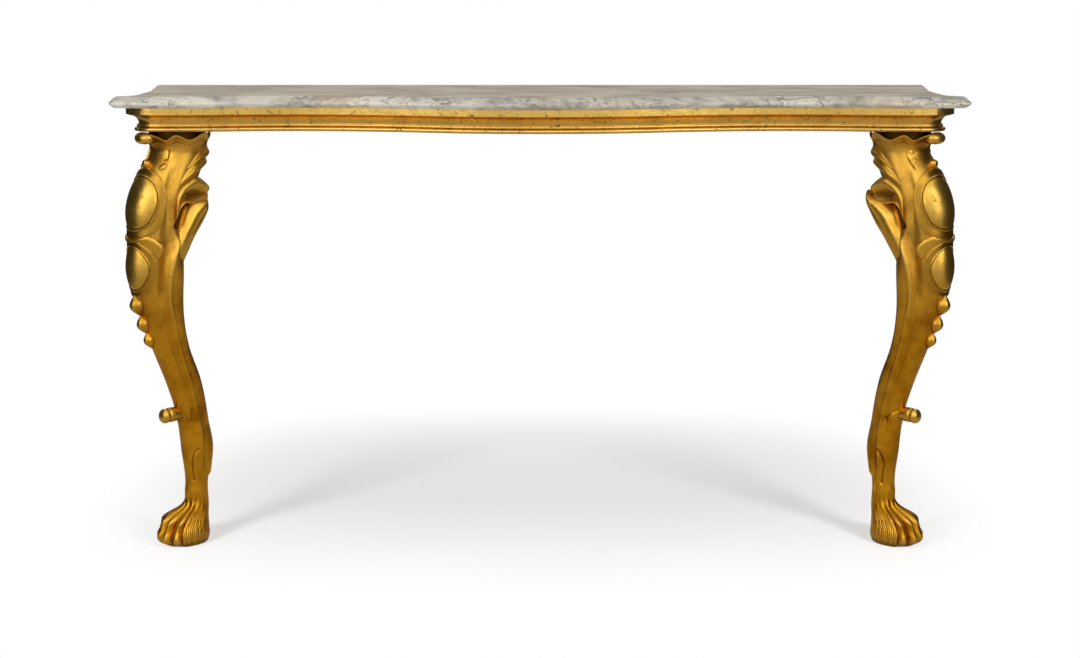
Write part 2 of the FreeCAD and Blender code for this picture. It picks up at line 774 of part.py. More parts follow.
def capital():
    """Flared collar round the neck, with the lobe that rolls over under the corner."""
    wall = 2 * size["capital_wall"]
    flare = 2 * size["capital_flare"]
    low = [APRON_UNDER - size["capital_height"], NECK[1], NECK[2] + wall, NECK[3] + wall]
    high = [APRON_UNDER, NECK[1], NECK[2] + wall + flare, NECK[3] + wall + flare]
    lobe_fore = size["lobe_reach"] - size["lobe_depth"] / 2
    lobe_z = APRON_UNDER - size["lobe_drop"]
    lobe = bud(lobe_fore, lobe_z, size["lobe_height"], size["lobe_depth"], FORWARD)
    return tidy(loft([low, high]).fuse(lobe).cut(NECK_BAR))


def oval_bar(start, end, z, tall, wide):
    """Bar of upright oval section that runs forward through the ridge."""
    tips = [vec(start, 0, z + tall / 2), vec(start, wide / 2, z)]
    if wide > tall:
        tips.reverse()
    oval = Part.Ellipse(tips[0], tips[1], vec(start, 0, z))
    return Part.Face(Part.Wire(oval.toShape())).extrude(vec(end - start, 0, 0))


def dome(z, tall, wide, proud):
    """Shallow dome over the rounded ridge of the post, with an oval edge, tall by wide.

    It still runs into the post; seated() trims it to the surface that it is glued to.
    """
    girth = size["dome_girth"]
    crest = ridge(z) + proud
    drop = proud / (girth / 2)
    length = tall / math.sqrt(1 - (1 - drop) ** 2)
    whole = spheroid(crest - girth / 2, z, girth, length, UP)
    start = ridge(z, wide / 2) - size["dome_root"]
    return whole.common(oval_bar(start, crest + OVERCUT, z, tall, wide))


def boss(word):
    """One cabochon with its frame, before it is fitted to the post."""
    proud = size[word + "_boss_proud"]
    tall = size[word + "_boss_tall"]
    return dome(up_leg(word + "_boss_share"), tall, size[word + "_boss_wide"], proud)


BOSSES = {word: boss(word) for word in ("upper", "lower")}


def seated(shape, *words):
    """Trim a carving clear of the named bosses and then to the surface of the post."""
    for word in words:
        shape = shape.cut(BOSSES[word])
    return shape.cut(POST)


# The leaf band between the two cabochons.
GARTER = dome(up_leg("garter_share"), size["garter_tall"], size["garter_wide"],
              size["garter_proud"])


HUSK_COUNT = 3


def husk_drop():
    """Husks in a row, each smaller than the one above, let into the ridge of the shin."""
    solids = []
    z = up_leg("husk_share")
    scale = 1.0
    for husk in range(HUSK_COUNT):
        wide = size["husk_diameter"] * scale
        tall = size["husk_length"] * scale
        fore = ridge(z) + wide / 2 - size["husk_sink"]
        solids += seated(bud(fore, z, wide, tall, UP), "lower").Solids
        z -= size["husk_pitch"] * scale
        scale *= size["husk_taper"]
    return Part.makeCompound(solids)


def pearl():
    z = up_leg("pearl_share")
    wide = size["pearl_diameter"]
    fore = ridge(z) + wide / 2 - size["husk_sink"]
    return tidy(seated(Part.makeSphere(wide / 2, vec(fore, 0, z)), "upper"))


def shin_scroll():
    """Small rolled knob that breaks forward out of the shin."""
    z = up_leg("scroll_share")
    fore = size["scroll_reach"] - size["scroll_length"] / 2
    knob = bud(fore, z, size["scroll_diameter"], size["scroll_length"], FORWARD)
    return tidy(seated(knob))


def leaf_profile(across, thickness):
    """Outline of one knee leaf, from its top over the tip down to its foot, as a thick plate."""
    top = up_leg("leaf_top_share")
    tip = up_leg("leaf_tip_share")
    foot = up_leg("leaf_foot_share")
    back = -size["leaf_tip_back"]
    points = [
        vec(back + size["leaf_top_fore"], across, top),
        vec(back, across, tip + size["leaf_lip"]),
        vec(back, across, tip),
        vec(back + size["leaf_waist_fore"], across, tip - size["leaf_waist_drop"]),
        vec(size["leaf_foot_fore"], across, foot),
    ]
    edge = Part.BSplineCurve()
    edge.interpolate(points)
    corners = [points[-1], vec(size["garter_line_fore"], across, foot)]
    for word in ("knee", "crown"):
        corners.append(vec(size[word + "_fore"], across, up_leg(word + "_share")))
    corners += [vec(size["neck_fore"], across, top), points[0]]
    inner = Part.makePolygon(corners).Edges
    return Part.Face(Part.Wire([edge.toShape()] + inner)).extrude(vec(0, thickness, 0))


def slit():
    """Pierced slot between leaf and post, leaning forward as it goes down."""
    length = size["slit_length"]
    width = size["slit_width"]
    span = size["leaf_span_width"] * 2
    bar = Part.makeBox(width, span, length, vec(-width / 2, -span / 2, -length / 2))
    bar.rotate(vec(0, 0), vec(0, 1, 0), -size["slit_lean"])
    bar.translate(vec(size["slit_fore"], 0, up_leg("slit_share")))
    return bar


def knee_leaves():
    """Two acanthus leaves behind the knee, one on each flank, open between them."""
    thick = (size["leaf_span_width"] - size["leaf_gap"]) / 2
    flanks = (size["leaf_gap"] / 2, -size["leaf_span_width"] / 2)
    plates = [leaf_profile(across, thick) for across in flanks]
    leaves = []
    for plate in plates:
        rest = seated(plate.cut(slit()).cut(GARTER), "upper", "lower")
        leaves.append(max(rest.Solids, key=lambda solid: solid.Volume))
    return Part.makeCompound(leaves)


def paw():
    """Lion's paw: a lofted pad with four toes round its front, doweled to the post."""
    body = loft([PASTERN] + [paw_station(item[0]) for item in PAW_STATIONS])
    for turn in (-1.5, -0.5, 0.5, 1.5):
        angle = math.radians(turn * size["toe_spread"])
        fore = size["knuckle_fore"] + size["toe_ring_depth"] * math.cos(angle)
        across = size["toe_ring_width"] * math.sin(angle)
        toe = Part.makeSphere(size["toe_diameter"] / 2, vec(fore, across, size["toe_height"]))
        body = body.fuse(toe)
    return tidy(body.cut(DOWEL))


LEG_PIECES = (
    ("leg_post", leg_post()),
    ("capital", capital()),
    ("upper_cabochon", tidy(seated(BOSSES["upper"]))),
    ("lower_cabochon", tidy(seated(BOSSES["lower"]))),
    ("garter_leaf", tidy(seated(GARTER, "upper", "lower"))),
    ("husk_drop", husk_drop()),
    ("pearl", pearl()),
    ("shin_scroll", shin_scroll()),
    ("knee_leaves", knee_leaves()),
    ("paw", paw()),
)

for side, sign in SIDES:
    for name, shape in LEG_PIECES:
        keep(name + "_" + side, shape.copy(), leg_place(side, sign))


# ------------------------------------------------------------------ leg fixings

def leg_hardware():
    """Bolt, washer and nut over each front corner block, and the dowel in each paw."""
    lists = {"leg_bolts": [], "leg_washers": [], "leg_nuts": [], "foot_dowels": []}
    for side, sign in SIDES:
        diagonal = "(Sizes.neck_fore / sqrt(2))"
        x = "%d * (" % sign + LEG_MIDDLE + " + " + diagonal + ")"
        y = EAR + " + Sizes.leg_back - " + diagonal
        top = UNDER + " - Sizes.corner_block_drop"
        bolt = cylinder("leg_bolt_" + side, "Sizes.bolt_diameter / 2",
                        top + " + Sizes.bolt_rise - (" + APRON_LOW + " - Sizes.bolt_depth)",
                        x, y, APRON_LOW + " - Sizes.bolt_depth")
        disc = cylinder("washer_disc_" + side, "Sizes.washer_diameter / 2",
                        "Sizes.washer_thickness", x, y, top)
        block = doc.addObject("Part::Prism", "nut_block_" + side)
        block.Polygon = 6
        bind(block, Circumradius="Sizes.nut_width / sqrt(3)", Height="Sizes.nut_height")
        bind(block, Placement__Base__x=x, Placement__Base__y=y,
             Placement__Base__z=top + " + Sizes.washer_thickness")
        lists["leg_bolts"].append(bolt)
        lists["leg_washers"].append(cut("washer_" + side, disc, bolt))
        lists["leg_nuts"].append(cut("nut_" + side, block, bolt))
        inward = "(Sizes.pastern_fore / sqrt(2))"
        dowel = cylinder("foot_dowel_" + side, "Sizes.foot_dowel_diameter / 2",
                         "Sizes.foot_dowel_length",
                         "%d * (" % sign + LEG_MIDDLE + " + " + inward + ")",
                         EAR + " + Sizes.leg_back - " + inward,
                         "Sizes.pastern_share * " + APRON_LOW + " - Sizes.foot_dowel_length / 2")
        lists["foot_dowels"].append(dowel)
    for name, pieces in lists.items():
        group(name, pieces)


leg_hardware()
group("plate_screws", [screw for side, sign in SIDES for screw in PLATES[side][2]])
doc.recompute()


# ------------------------------------------------------------------ corner blocks and rails

BACK_RAIL = tidy(BACK_BLANK.Shape.cut(PEG_SHAPE).cut(SCREWS))
keep("back_rail", BACK_RAIL)


def front_block(side, sign):
    """Block in the front corner that takes the leg tenon; fitted to the curved rails."""
    reach = size["corner_block_size"]
    chop = size["corner_block_cut_length"]
    x = RAIL_INNER_X
    y = FASCIA_Y + size["rail_thickness"]
    corners = [(x, y), (x, y + reach), (x - reach + chop, y + reach),
               (x - reach, y + reach - chop), (x - reach, y)]
    block = prism([(sign * a, b) for a, b in corners], APRON_UNDER, BLOCK_TOP)
    place = leg_place(side, sign)
    tools = [RUN, TENON.transformed(place.toMatrix()), BOLT.transformed(place.toMatrix()), SCREWS]
    tools += [screw_pocket(*seat) for seat in SEATS["front_" + side]]
    for tool in tools:
        block = block.cut(tool)
    return tidy(block)


def rear_block(side, sign):
    """Triangular block glued and screwed where the side rail meets the back rail."""
    leg = size["rear_block_leg"]
    x = RAIL_INNER_X
    corners = [(x, BACK_RAIL_Y), (x - leg, BACK_RAIL_Y), (x, BACK_RAIL_Y - leg)]
    top = APRON_UNDER + size["rear_block_height"]
    block = prism([(sign * a, b) for a, b in corners], APRON_UNDER, top)
    for tool in [SCREWS] + [screw_pocket(*seat) for seat in SEATS["rear_" + side]]:
        block = block.cut(tool)
    return tidy(block)


for side, sign in SIDES:
    keep("front_corner_block_" + side, front_block(side, sign))
    keep("rear_corner_block_" + side, rear_block(side, sign))


def bearer_blocks():
    """Small blocks glued into the angle between each bearer end and its rail."""
    length = size["bearer_block_length"]
    height = size["bearer_block_height"]
    bury = size["rail_thickness"] / 4
    blocks = []
    for piece in BEARERS:
        bounds = piece.Shape.BoundBox
        middle = (bounds.XMin + bounds.XMax) / 2
        low = bounds.ZMin - height
        front = bounds.YMin + size["bearer_lap"]
        start = vec(middle - length / 2, front - bury, low)
        blocks.append(tidy(Part.makeBox(length, length + bury, height, start).cut(RUN)))
        corner = vec(middle - length / 2, BACK_RAIL_Y - length, low)
        blocks.append(Part.makeBox(length, length, height, corner))
    return Part.makeCompound(blocks)


keep("bearer_blocks", bearer_blocks())

front_rail = RUN.common(front_mitre()).cut(BEARER_SHAPE).cut(PEG_SHAPE).cut(SCREWS)
keep("front_rail", tidy(front_rail))

side_rails = RUN.cut(front_mitre()).cut(BACK_RAIL).cut(PEG_SHAPE).cut(SCREWS)
side_rails = sorted(side_rails.Solids, key=lambda solid: solid.CenterOfMass.x)
for (side, sign), solid in zip(SIDES, side_rails):
    keep("side_rail_" + side, solid)

doc.recompute()


# ------------------------------------------------------------------ check and write

NODES = ["marble_top", "front_rail", "back_rail", "rail_pegs", "block_screws", "plate_screws",
         "bearer_blocks", "leg_bolts", "leg_washers", "leg_nuts", "foot_dowels"]
NODES += ["cross_bearer_" + word for word, middle, front in BEARER_SEATS]
for side, sign in SIDES:
    NODES += [name + "_" + side for name in ("side_rail", "wall_plate", "front_corner_block",
                                             "rear_corner_block")]
    NODES += [name + "_" + side for name, shape in LEG_PIECES]

for thing in doc.Objects:
    if "Invalid" in thing.State or "Error" in thing.State:
        raise RuntimeError("feature failed: " + thing.Name)

os.makedirs("parts", exist_ok=True)
for label in NODES:
    piece = doc.getObjectsByLabel(label)[0]
    if piece.Shape.isNull() or not piece.Shape.isValid():
        raise RuntimeError("bad shape: " + label)
    piece.Shape.exportStep("parts/" + label + ".step")
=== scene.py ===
# %% [markdown]
# # Pier table: a marble slab on a carved and gilded frame
# The real table is a wall table.  A serpentine marble slab lies loose on a shallow moulded
# frame, two carved cabriole legs stand under its front corners, and the wall holds its back.
# The joinery is already fixed by the construction model, so this lesson only dresses it:
# carving, gold leaf, marble and the marks of use, each on the solid that it belongs to.

# %% Load the fixed frame
import math

import bmesh
import bpy
import numpy as np
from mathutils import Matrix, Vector


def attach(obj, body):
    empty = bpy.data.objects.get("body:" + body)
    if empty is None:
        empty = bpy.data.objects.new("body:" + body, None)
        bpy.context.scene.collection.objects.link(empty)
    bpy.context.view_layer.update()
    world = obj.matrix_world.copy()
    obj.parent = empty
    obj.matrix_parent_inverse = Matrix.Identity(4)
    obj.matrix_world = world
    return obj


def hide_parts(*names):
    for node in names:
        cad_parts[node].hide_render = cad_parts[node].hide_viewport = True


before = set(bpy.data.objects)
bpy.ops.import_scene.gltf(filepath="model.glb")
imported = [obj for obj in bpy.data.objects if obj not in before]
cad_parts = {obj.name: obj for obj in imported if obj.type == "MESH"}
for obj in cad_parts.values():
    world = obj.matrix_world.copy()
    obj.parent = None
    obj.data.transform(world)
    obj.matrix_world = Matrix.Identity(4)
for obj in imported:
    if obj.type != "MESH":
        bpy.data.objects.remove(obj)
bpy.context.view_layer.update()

# %% [markdown]
# ## Units and where the carver's measurements live
# A carver measures a leg along its own lines: height up the leg, how far out along the
# diagonal of the corner, and how far across it.  All the carving below is written that way
# in millimetres, and one function turns it into metres in the table's frame, so the right
# leg is the left one carved the other way round.

# %% From leg measurements to the table
MM = 0.001
LEG_OUT, LEG_BACK = 690.0, -77.5     # where the foot stands, from the middle of the table
LEG_TOP = 831.5                      # the post ends here, under the corner block
DIAGONAL = math.sqrt(0.5)
SIDES = {"left": -1.0, "right": 1.0}


def on_table(side, out, across, height):
    """Leg measurements in mm, as arrays, to points of the table's frame in metres."""
    x = SIDES[side] * (LEG_OUT + DIAGONAL * (out - across))
    y = LEG_BACK - DIAGONAL * (out + across)
    return np.stack([x, y, height], axis=-1) * MM


print("left leg foot stands at", on_table("left", 0.0, 0.0, 0.0))

# %% [markdown]
# ## The cabriole line
# A cabriole leg starts as a square blank sawn to an S on two faces and then rounded.  It is
# fully described by oval sections at a few heights.  One cubic line runs through each size,
# so the surface has no kinks between the sections.

# %% Sections of the leg and a smooth line through them
# height, middle of the oval out along the diagonal, size along it, size across it
LEG_SECTIONS = np.array([
    (0, 40, 92, 76), (10, 42, 102, 86), (30, 42, 102, 86), (52, 32, 84, 70), (70, 16, 58, 50),
    (107, 11, 48, 41), (191, 8, 63, 49), (265, 15, 66, 50), (331, 31, 73, 56), (403, 57, 76, 60),
    (475, 75, 88, 74), (545, 83, 106, 88), (620, 80, 108, 96), (690, 72, 112, 102),
    (745, 46, 122, 108), (790, 22, 108, 106), (LEG_TOP, 22, 108, 106)], float)


def smooth_line(at, places, values):
    """A cubic line through (places, values), read at every number in at."""
    at = np.clip(at, places[0], places[-1])
    gaps = np.diff(places)
    rises = np.diff(values) / gaps
    slopes = np.concatenate([rises[:1], np.zeros(len(gaps) - 1), rises[-1:]])
    slopes[1:-1] = (rises[:-1] * gaps[1:] + rises[1:] * gaps[:-1]) / (gaps[:-1] + gaps[1:])
    k = np.clip(np.searchsorted(places, at) - 1, 0, len(gaps) - 1)
    t = (at - places[k]) / gaps[k]
    start = values[k] * (2 * t**3 - 3 * t**2 + 1) + gaps[k] * slopes[k] * (t**3 - 2 * t**2 + t)
    end = values[k + 1] * (3 * t**2 - 2 * t**3) + gaps[k] * slopes[k + 1] * (t**3 - t**2)
    return start + end


def read_line(at, table):
    """The same cubic line through a table of (place, value) rows."""
    places, values = np.array(table, float).T
    return smooth_line(at, places, values)


def leg_section(height):
    """Middle, half depth and half width of the leg at each height."""
    sizes = [smooth_line(height, LEG_SECTIONS[:, 0], LEG_SECTIONS[:, n]) for n in (1, 2, 3)]
    return sizes[0], sizes[1] / 2, sizes[2] / 2


def on_leg(turn, height, proud):
    """A place on the leg: degrees round from the ridge, height, and mm proud of the surface."""
    middle, deep, wide = leg_section(height)
    c, s = np.cos(np.radians(turn)), np.sin(np.radians(turn))
    nx, ny = c / deep, s / wide
    length = np.hypot(nx, ny)
    return middle + deep * c + proud * nx / length, wide * s + proud * ny / length


def around_leg(side, turn, height, proud):
    """The same place as a point of the table's frame in metres."""
    out, across = on_leg(turn, height, proud)
    return on_table(side, out, across, height)


def girth(height):
    """Millimetres of surface for one degree of turn."""
    _, deep, wide = leg_section(height)
    return np.radians(1) * (deep + wide) / 2


print("knee stands out", round(float(on_leg(0.0, 690.0, 0.0)[0])), "mm from the foot")

# %% [markdown]
# ## From a flat grid to a carved surface
# Gouge work is a smooth surface with ridges and cuts on it.  A grid made by one operator is
# bent round the leg and raised or lowered vertex by vertex, like a sculpted height map.
# The same helper makes every carved piece, and caps close what stays open at its ends.

# %% Helpers that shape and close a shell
SEAM_M = 1e-6                  # points nearer than this are one point


def soft_step(x, low, high):
    """0 below low, 1 above high, and a soft rise between them."""
    t = np.clip((x - low) / (high - low), 0, 1)
    return t * t * (3 - 2 * t)


def between(x, from_low, low, high, to_high):
    """A soft rise up to low, 1 from there to high, and a soft fall behind it."""
    return soft_step(x, from_low, low) * (1 - soft_step(x, high, to_high))


def hump(x, middle, width):
    """1 at the middle, with a bell-shaped fall on both sides."""
    return np.exp(-((x - middle) / width) ** 2)


def bent_shell(columns, rows, place):
    """A grid whose points are carried by place(across, along).  Its seams are merged, what is
    still open is capped, and every face is turned outwards."""
    bm = bmesh.new()
    bmesh.ops.create_grid(bm, x_segments=columns, y_segments=rows, size=0.5)
    flat = np.array([v.co for v in bm.verts])
    across, along = flat[:, 0] + 0.5, flat[:, 1] + 0.5
    layer = bm.verts.layers.float.new("along")
    for vert, point, share in zip(bm.verts, place(across, along).tolist(), along.tolist()):
        vert.co = point
        vert[layer] = share
    bmesh.ops.remove_doubles(bm, verts=bm.verts, dist=SEAM_M)
    open_edges = [e for e in bm.edges if e.is_boundary]
    if open_edges:
        bmesh.ops.holes_fill(bm, edges=open_edges, sides=0)
    bmesh.ops.recalc_face_normals(bm, faces=bm.faces)
    return bm


def as_mesh(bm, name):
    """The same shell as mesh data."""
    mesh = bpy.data.meshes.new(name)
    bm.to_mesh(mesh)
    bm.free()
    return mesh


def joined(parts):
    """Several closed shells in one mesh."""
    whole = bmesh.new()
    for part in parts:
        mesh = as_mesh(part, "part")
        whole.from_mesh(mesh)
        bpy.data.meshes.remove(mesh)
    return whole


print("carving helpers ready")

# %% [markdown]
# ## What stands proud and what lies low
# Wear and dirt follow the form: hands and dusters rub whatever stands proud, and toning
# stays in whatever lies low.  So each mesh is smoothed in the mind only, by averaging every
# point with its neighbours, and the distance from that soft form is stored point by point; the
# gold then paints proud points paler as highlights and low points darker as shade.
# A finished piece then rides on its body and stands for the solid that it dresses.

# %% Measure the relief and place a piece
def measure_relief(mesh, rounds, reach_mm):
    """Store how far each vertex stands out of its neighbours, +1 proud and -1 sunk."""
    count = len(mesh.vertices)
    points, normals = np.zeros(count * 3), np.zeros(count * 3)
    mesh.vertices.foreach_get("co", points)
    mesh.vertices.foreach_get("normal", normals)
    points = points.reshape(-1, 3)
    ends = np.zeros(len(mesh.edges) * 2, int)
    mesh.edges.foreach_get("vertices", ends)
    one, two = ends.reshape(-1, 2).T
    links = np.maximum(np.bincount(one, minlength=count) + np.bincount(two, minlength=count), 1)
    smooth = points.copy()
    for _ in range(rounds):
        for axis in range(3):
            total = np.bincount(one, smooth[two, axis], count)
            total += np.bincount(two, smooth[one, axis], count)
            smooth[:, axis] = 0.5 * smooth[:, axis] + 0.5 * total / links
    proud = np.einsum("ij,ij->i", points - smooth, normals.reshape(-1, 3)) / (reach_mm * MM)
    layer = mesh.attributes.new("relief", "FLOAT", "POINT")
    layer.data.foreach_set("value", np.clip(proud, -1, 1).astype(np.float32))


def linked(name, data):
    """A new object of the scene."""
    thing = bpy.data.objects.new(name, data)
    bpy.context.scene.collection.objects.link(thing)
    return thing


def set_up(bm, name, node, material, body="frame", crease=40.0, rounds=12,
           reach_mm=0.6):
    """Turn a finished bmesh into a placed piece that stands for its CAD node."""
    mesh = as_mesh(bm, name)
    mesh.shade_smooth()
    mesh.set_sharp_from_angle(angle=math.radians(crease))
    measure_relief(mesh, rounds, reach_mm)
    mesh.materials.append(material)
    piece = linked(name, mesh)
    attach(piece, body)
    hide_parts(node)
    return piece


print("relief and placing helpers ready")

# %% [markdown]
# ## Colours and material nodes
# Every colour is written as the sRGB hex code that a paint chart would give, and one
# function turns it into the linear numbers that the shader wants.  Short helpers add a node
# and link it: noise, sums, ramps, masks, blends and bumps.  Sizes are waves to the metre.

# %% Colour and node helpers
def hexa(code):
    """sRGB hex to linear RGBA."""
    parts = [int(code[n:n + 2], 16) / 255 for n in (1, 3, 5)]
    return [p / 12.92 if p <= 0.04045 else ((p + 0.055) / 1.055) ** 2.4 for p in parts] + [1.0]


def feed(tree, node, inputs):
    """Give sockets of a node a link or a plain value."""
    for key, value in inputs.items():
        if isinstance(value, bpy.types.NodeSocket):
            tree.links.new(value, node.inputs[key])
        else:
            node.inputs[key].default_value = value


def add(tree, kind, inputs=None, **settings):
    """Add one shader node; settings are its properties."""
    node = tree.nodes.new("ShaderNode" + kind)
    for key, value in settings.items():
        setattr(node, key, value)
    feed(tree, node, inputs or {})
    return node


def noise(tree, place, per_m, detail, roughness=0.5):
    """Soft noise with about per_m waves to the metre."""
    return add(tree, "TexNoise", {"Vector": place, "Scale": per_m, "Detail": detail,
                                  "Roughness": roughness}).outputs["Fac"]


def calc(tree, operation, *terms):
    """One sum on grey values."""
    return add(tree, "Math", dict(enumerate(terms)), operation=operation).outputs[0]


def ramp(tree, factor, stops):
    """A colour ramp through (place, hex) stops."""
    node = add(tree, "ValToRGB", {"Fac": factor})
    while len(node.color_ramp.elements) < len(stops):
        node.color_ramp.elements.new(0.5)
    for element, (place, code) in zip(node.color_ramp.elements, stops):
        element.position = place
        element.color = hexa(code)
    return node.outputs["Color"]


def mask(tree, factor, low, high, top=1.0):
    """A grey value that rises from 0 to top between low and high."""
    return add(tree, "MapRange", {"Value": factor, "From Min": low, "From Max": high,
                                  "To Max": top}, interpolation_type="SMOOTHSTEP").outputs["Result"]


def blend(tree, share, below, above):
    """Lay one colour over another by share; a colour is a link or a hex code."""
    below, above = (hexa(c) if isinstance(c, str) else c for c in (below, above))
    return add(tree, "Mix", {0: share, 6: below, 7: above}, data_type="RGBA").outputs[2]


def bend(tree, place, by, share):
    """Pull coordinates out of line by a share of a noise colour."""
    return add(tree, "Mix", {0: share, 4: place, 5: by}, data_type="VECTOR").outputs[1]


def bump(tree, height, strength, depth_m, under=None, **settings):
    """Small relief; under is the bump below it."""
    inputs = {"Height": height, "Strength": strength, "Distance": depth_m}
    if under is not None:
        inputs["Normal"] = under
    return add(tree, "Bump", inputs, **settings).outputs["Normal"]


def finish_named(name):
    """A new material with its tree, its shader and the object's own coordinates."""
    material = bpy.data.materials.new(name)
    material.use_nodes = True
    tree = material.node_tree
    return material, tree, tree.nodes["Principled BSDF"], add(tree, "TexCoord").outputs["Object"]


print("gold leaf in linear numbers:", [round(v, 3) for v in hexa("#D9A520")[:3]])

# %% [markdown]
# ## Water gilding
# Gilded wood is carved, coated with white gesso, then with red-brown clay called bole, and gold
# leaf is laid on wet and burnished.  So it is a metal, but not a mirror: it is a little rough, it
# thins to the bole on edges that are handled, dirt darkens the hollows, and the gesso under it
# cracks.  The colour also paints light: proud parts and the upper leg are painted paler as
# highlights, and hollows and gaps are painted darker as shade.  The shader stays a metal with
# one IOR; the story is told by the colour, the roughness and the bump.  Cloudy changes are about
# 60 mm wide, brush drag in the gesso about 4 mm, and the speckle of the leaf 1 to 2 mm.

# %% Gold leaf over red bole
TONING_AND_SHADE = "#794A0C"             # brown glaze left in the hollows, and painted shade there
BOLE = "#8A4A12"
# dirt in the cracks, and painted shade in the deepest hollows and gaps
GRIME_AND_SHADE = "#3A2706"
CLOUD_PER_M = 16.0             # cloudy changes of the leaf, about 60 mm
SPECKLE_PER_M = 700.0          # grain of the leaf, about 1.5 mm
GESSO_DRAG_PER_M = 240.0       # brush drag, about 4 mm
SWELL_PER_M = 55.0             # slow waves of hand-rubbed gesso, about 18 mm
PATCH_PER_M = 95.0             # worn spots, about 10 mm
CRAZE_PER_M = 42.0             # hair cracks of the gesso, about 24 mm apart
CRAZE_BEND_PER_M = 60.0        # the cracks wander every 17 mm
DARKER_BELOW_M = 0.016          # the gold goes darker over about the lowest 16 mm of the foot
PALER_ABOVE_M = (0.4, 0.7)          # painted light: between these heights the gold turns paler, as the upper leg is lit more


def gilding(name, leaf, shaded, rubbed_sheen, matte, glossy, crazed):
    """The three colours are the gold's leaf, its darker tone and its rubbed colour; the rubbed
    colour is worn gold and also the painted highlight on proud parts and above the shin.  matte
    and glossy are its roughness, crazed how dark the hair cracks of its gesso are."""
    material, tree, shader, place = finish_named(name)
    relief = add(tree, "Attribute", attribute_name="relief").outputs["Fac"]
    rise = add(tree, "SeparateXYZ", {"Vector": place}).outputs["Z"]
    cloud = noise(tree, place, CLOUD_PER_M, 5.0, 0.6)
    speckle = noise(tree, place, SPECKLE_PER_M, 3.0, 0.6)
    patches = noise(tree, place, PATCH_PER_M, 6.0, 0.7)
    # painted shade: the deepest hollows take the dirt colour and a little more roughness
    sunk_shade = mask(tree, relief, -0.45, -1.0, 0.85)
    worn = calc(tree, "MULTIPLY", mask(tree, relief, 0.35, 0.9), mask(tree, patches, 0.54, 0.68))
    chipped = calc(tree, "MAXIMUM", worn, mask(tree, patches, 0.735, 0.77))
    bare = calc(tree, "MULTIPLY", chipped, 0.6)
    drift = add(tree, "TexNoise", {"Vector": place, "Scale": CRAZE_BEND_PER_M, "Detail": 4.0})
    web = add(tree, "TexVoronoi", {"Vector": bend(tree, place, drift.outputs["Color"], 0.03),
                                   "Scale": CRAZE_PER_M}, feature="DISTANCE_TO_EDGE")
    crack = mask(tree, web.outputs["Distance"], 0.035, 0.0, crazed)
    craze = calc(tree, "MULTIPLY", crack, mask(tree, patches, 0.5, 0.58))

    body = ramp(tree, cloud, [(0.32, shaded), (0.55, leaf), (0.75, leaf)])
    # roughly in the order in which time laid them on, how much of each colour: the paler rub from
    #     # the shin up is painted light, the rub on proud parts is wear and a painted highlight,
    #     toning
    #     # and dirt in the hollows are also painted shade, and the lowest 16 mm of a foot go darker
    for share, colour in ((mask(tree, rise, *PALER_ABOVE_M, 0.4), rubbed_sheen),
                          (mask(tree, relief, 0.1, 0.7, 0.85), rubbed_sheen),
                          (mask(tree, relief, -0.04, -0.5, 0.8), TONING_AND_SHADE),
                          (sunk_shade, GRIME_AND_SHADE), (bare, BOLE), (craze, GRIME_AND_SHADE),
                          (mask(tree, rise, DARKER_BELOW_M, 0.0, 0.9), GRIME_AND_SHADE),
                          (mask(tree, speckle, 0.56, 0.72, 0.4), shaded),
                          (mask(tree, speckle, 0.36, 0.28, 0.35), TONING_AND_SHADE)):
        body = blend(tree, share, body, colour)

    rough = add(tree, "MapRange", {"Value": cloud, "From Min": 0.3, "From Max": 0.7,
                                   "To Min": matte, "To Max": glossy}).outputs["Result"]
    rough = calc(tree, "MULTIPLY_ADD", bare, 0.25, rough)
    rough = calc(tree, "MULTIPLY_ADD", sunk_shade, 0.2, rough)
    low = bump(tree, noise(tree, place, SWELL_PER_M, 2.0), 0.2, 0.003)
    mid = bump(tree, noise(tree, place, GESSO_DRAG_PER_M, 4.0, 0.55), 0.28, 0.0006, low)
    fine = bump(tree, bare, 0.5, 0.0004, mid, invert=True)
    feed(tree, shader, {"Base Color": body, "Metallic": 1.0, "Roughness": rough, "Normal": fine})
    return material


# the rubbed colours are also painted highlights; the frame's palest one paints the highlights along
# its moulding
matte_gold = gilding("Matte_water_gilding_toned_with_size", "#D89C22", "#AA6D0A", "#EFC560",
                     0.42, 0.33, crazed=0.35)
burnished_gold = gilding("Burnished_gold_leaf_on_red_bole", "#DBA838", "#B47E14", "#E6BA56",
                         0.38, 0.28, crazed=0.3)
frame_gold = gilding("Gold_leaf_on_crazed_gesso", "#E4B244", "#C08C20", "#FFE08A", 0.32, 0.2,
                     crazed=0.95)
print("gilding:", len(matte_gold.node_tree.nodes), "nodes")

# %% [markdown]
# ## White marble with grey veins
# The slab is sawn from a white-grey statuary marble and polished.  Its grey comes as soft
# clouds and as thin dark veins that run together, and it has yellowed in broad patches.  It is
# a stone with IOR 1.5, and its polish has gone dull under old wax: a third rough.

# %% Waxed veined marble
MARBLE_GROUND, MARBLE_MIST, MARBLE_CLOUD = "#B1AB9F", "#9D978C", "#716D65"
MARBLE_STAIN = "#B7A27C"
MARBLE_CLOUDS_PER_M = 11.0     # clouds about 90 mm wide
MARBLE_DRIFT_PER_M = 4.5       # veins come in groups about 220 mm wide
MARBLE_WARP_PER_M = 4.0        # the bed of the stone is folded about every 250 mm
MARBLE_PITS_PER_M = 380.0      # pits of about 2.5 mm
BED_TURN, BED_STRETCH = (0.0, 0.3, 0.45), (0.85, 1.8, 1.2)      # how the bed of the stone lies
# waves to the metre, width of the line, where its group starts, colour: about 90, 38 and
# 19 mm from one vein to the next
VEINS = [(11.0, 0.016, 0.38, "#4B4843"), (26.0, 0.02, 0.39, "#5A5751"),
         (52.0, 0.024, 0.41, "#6F6C66")]

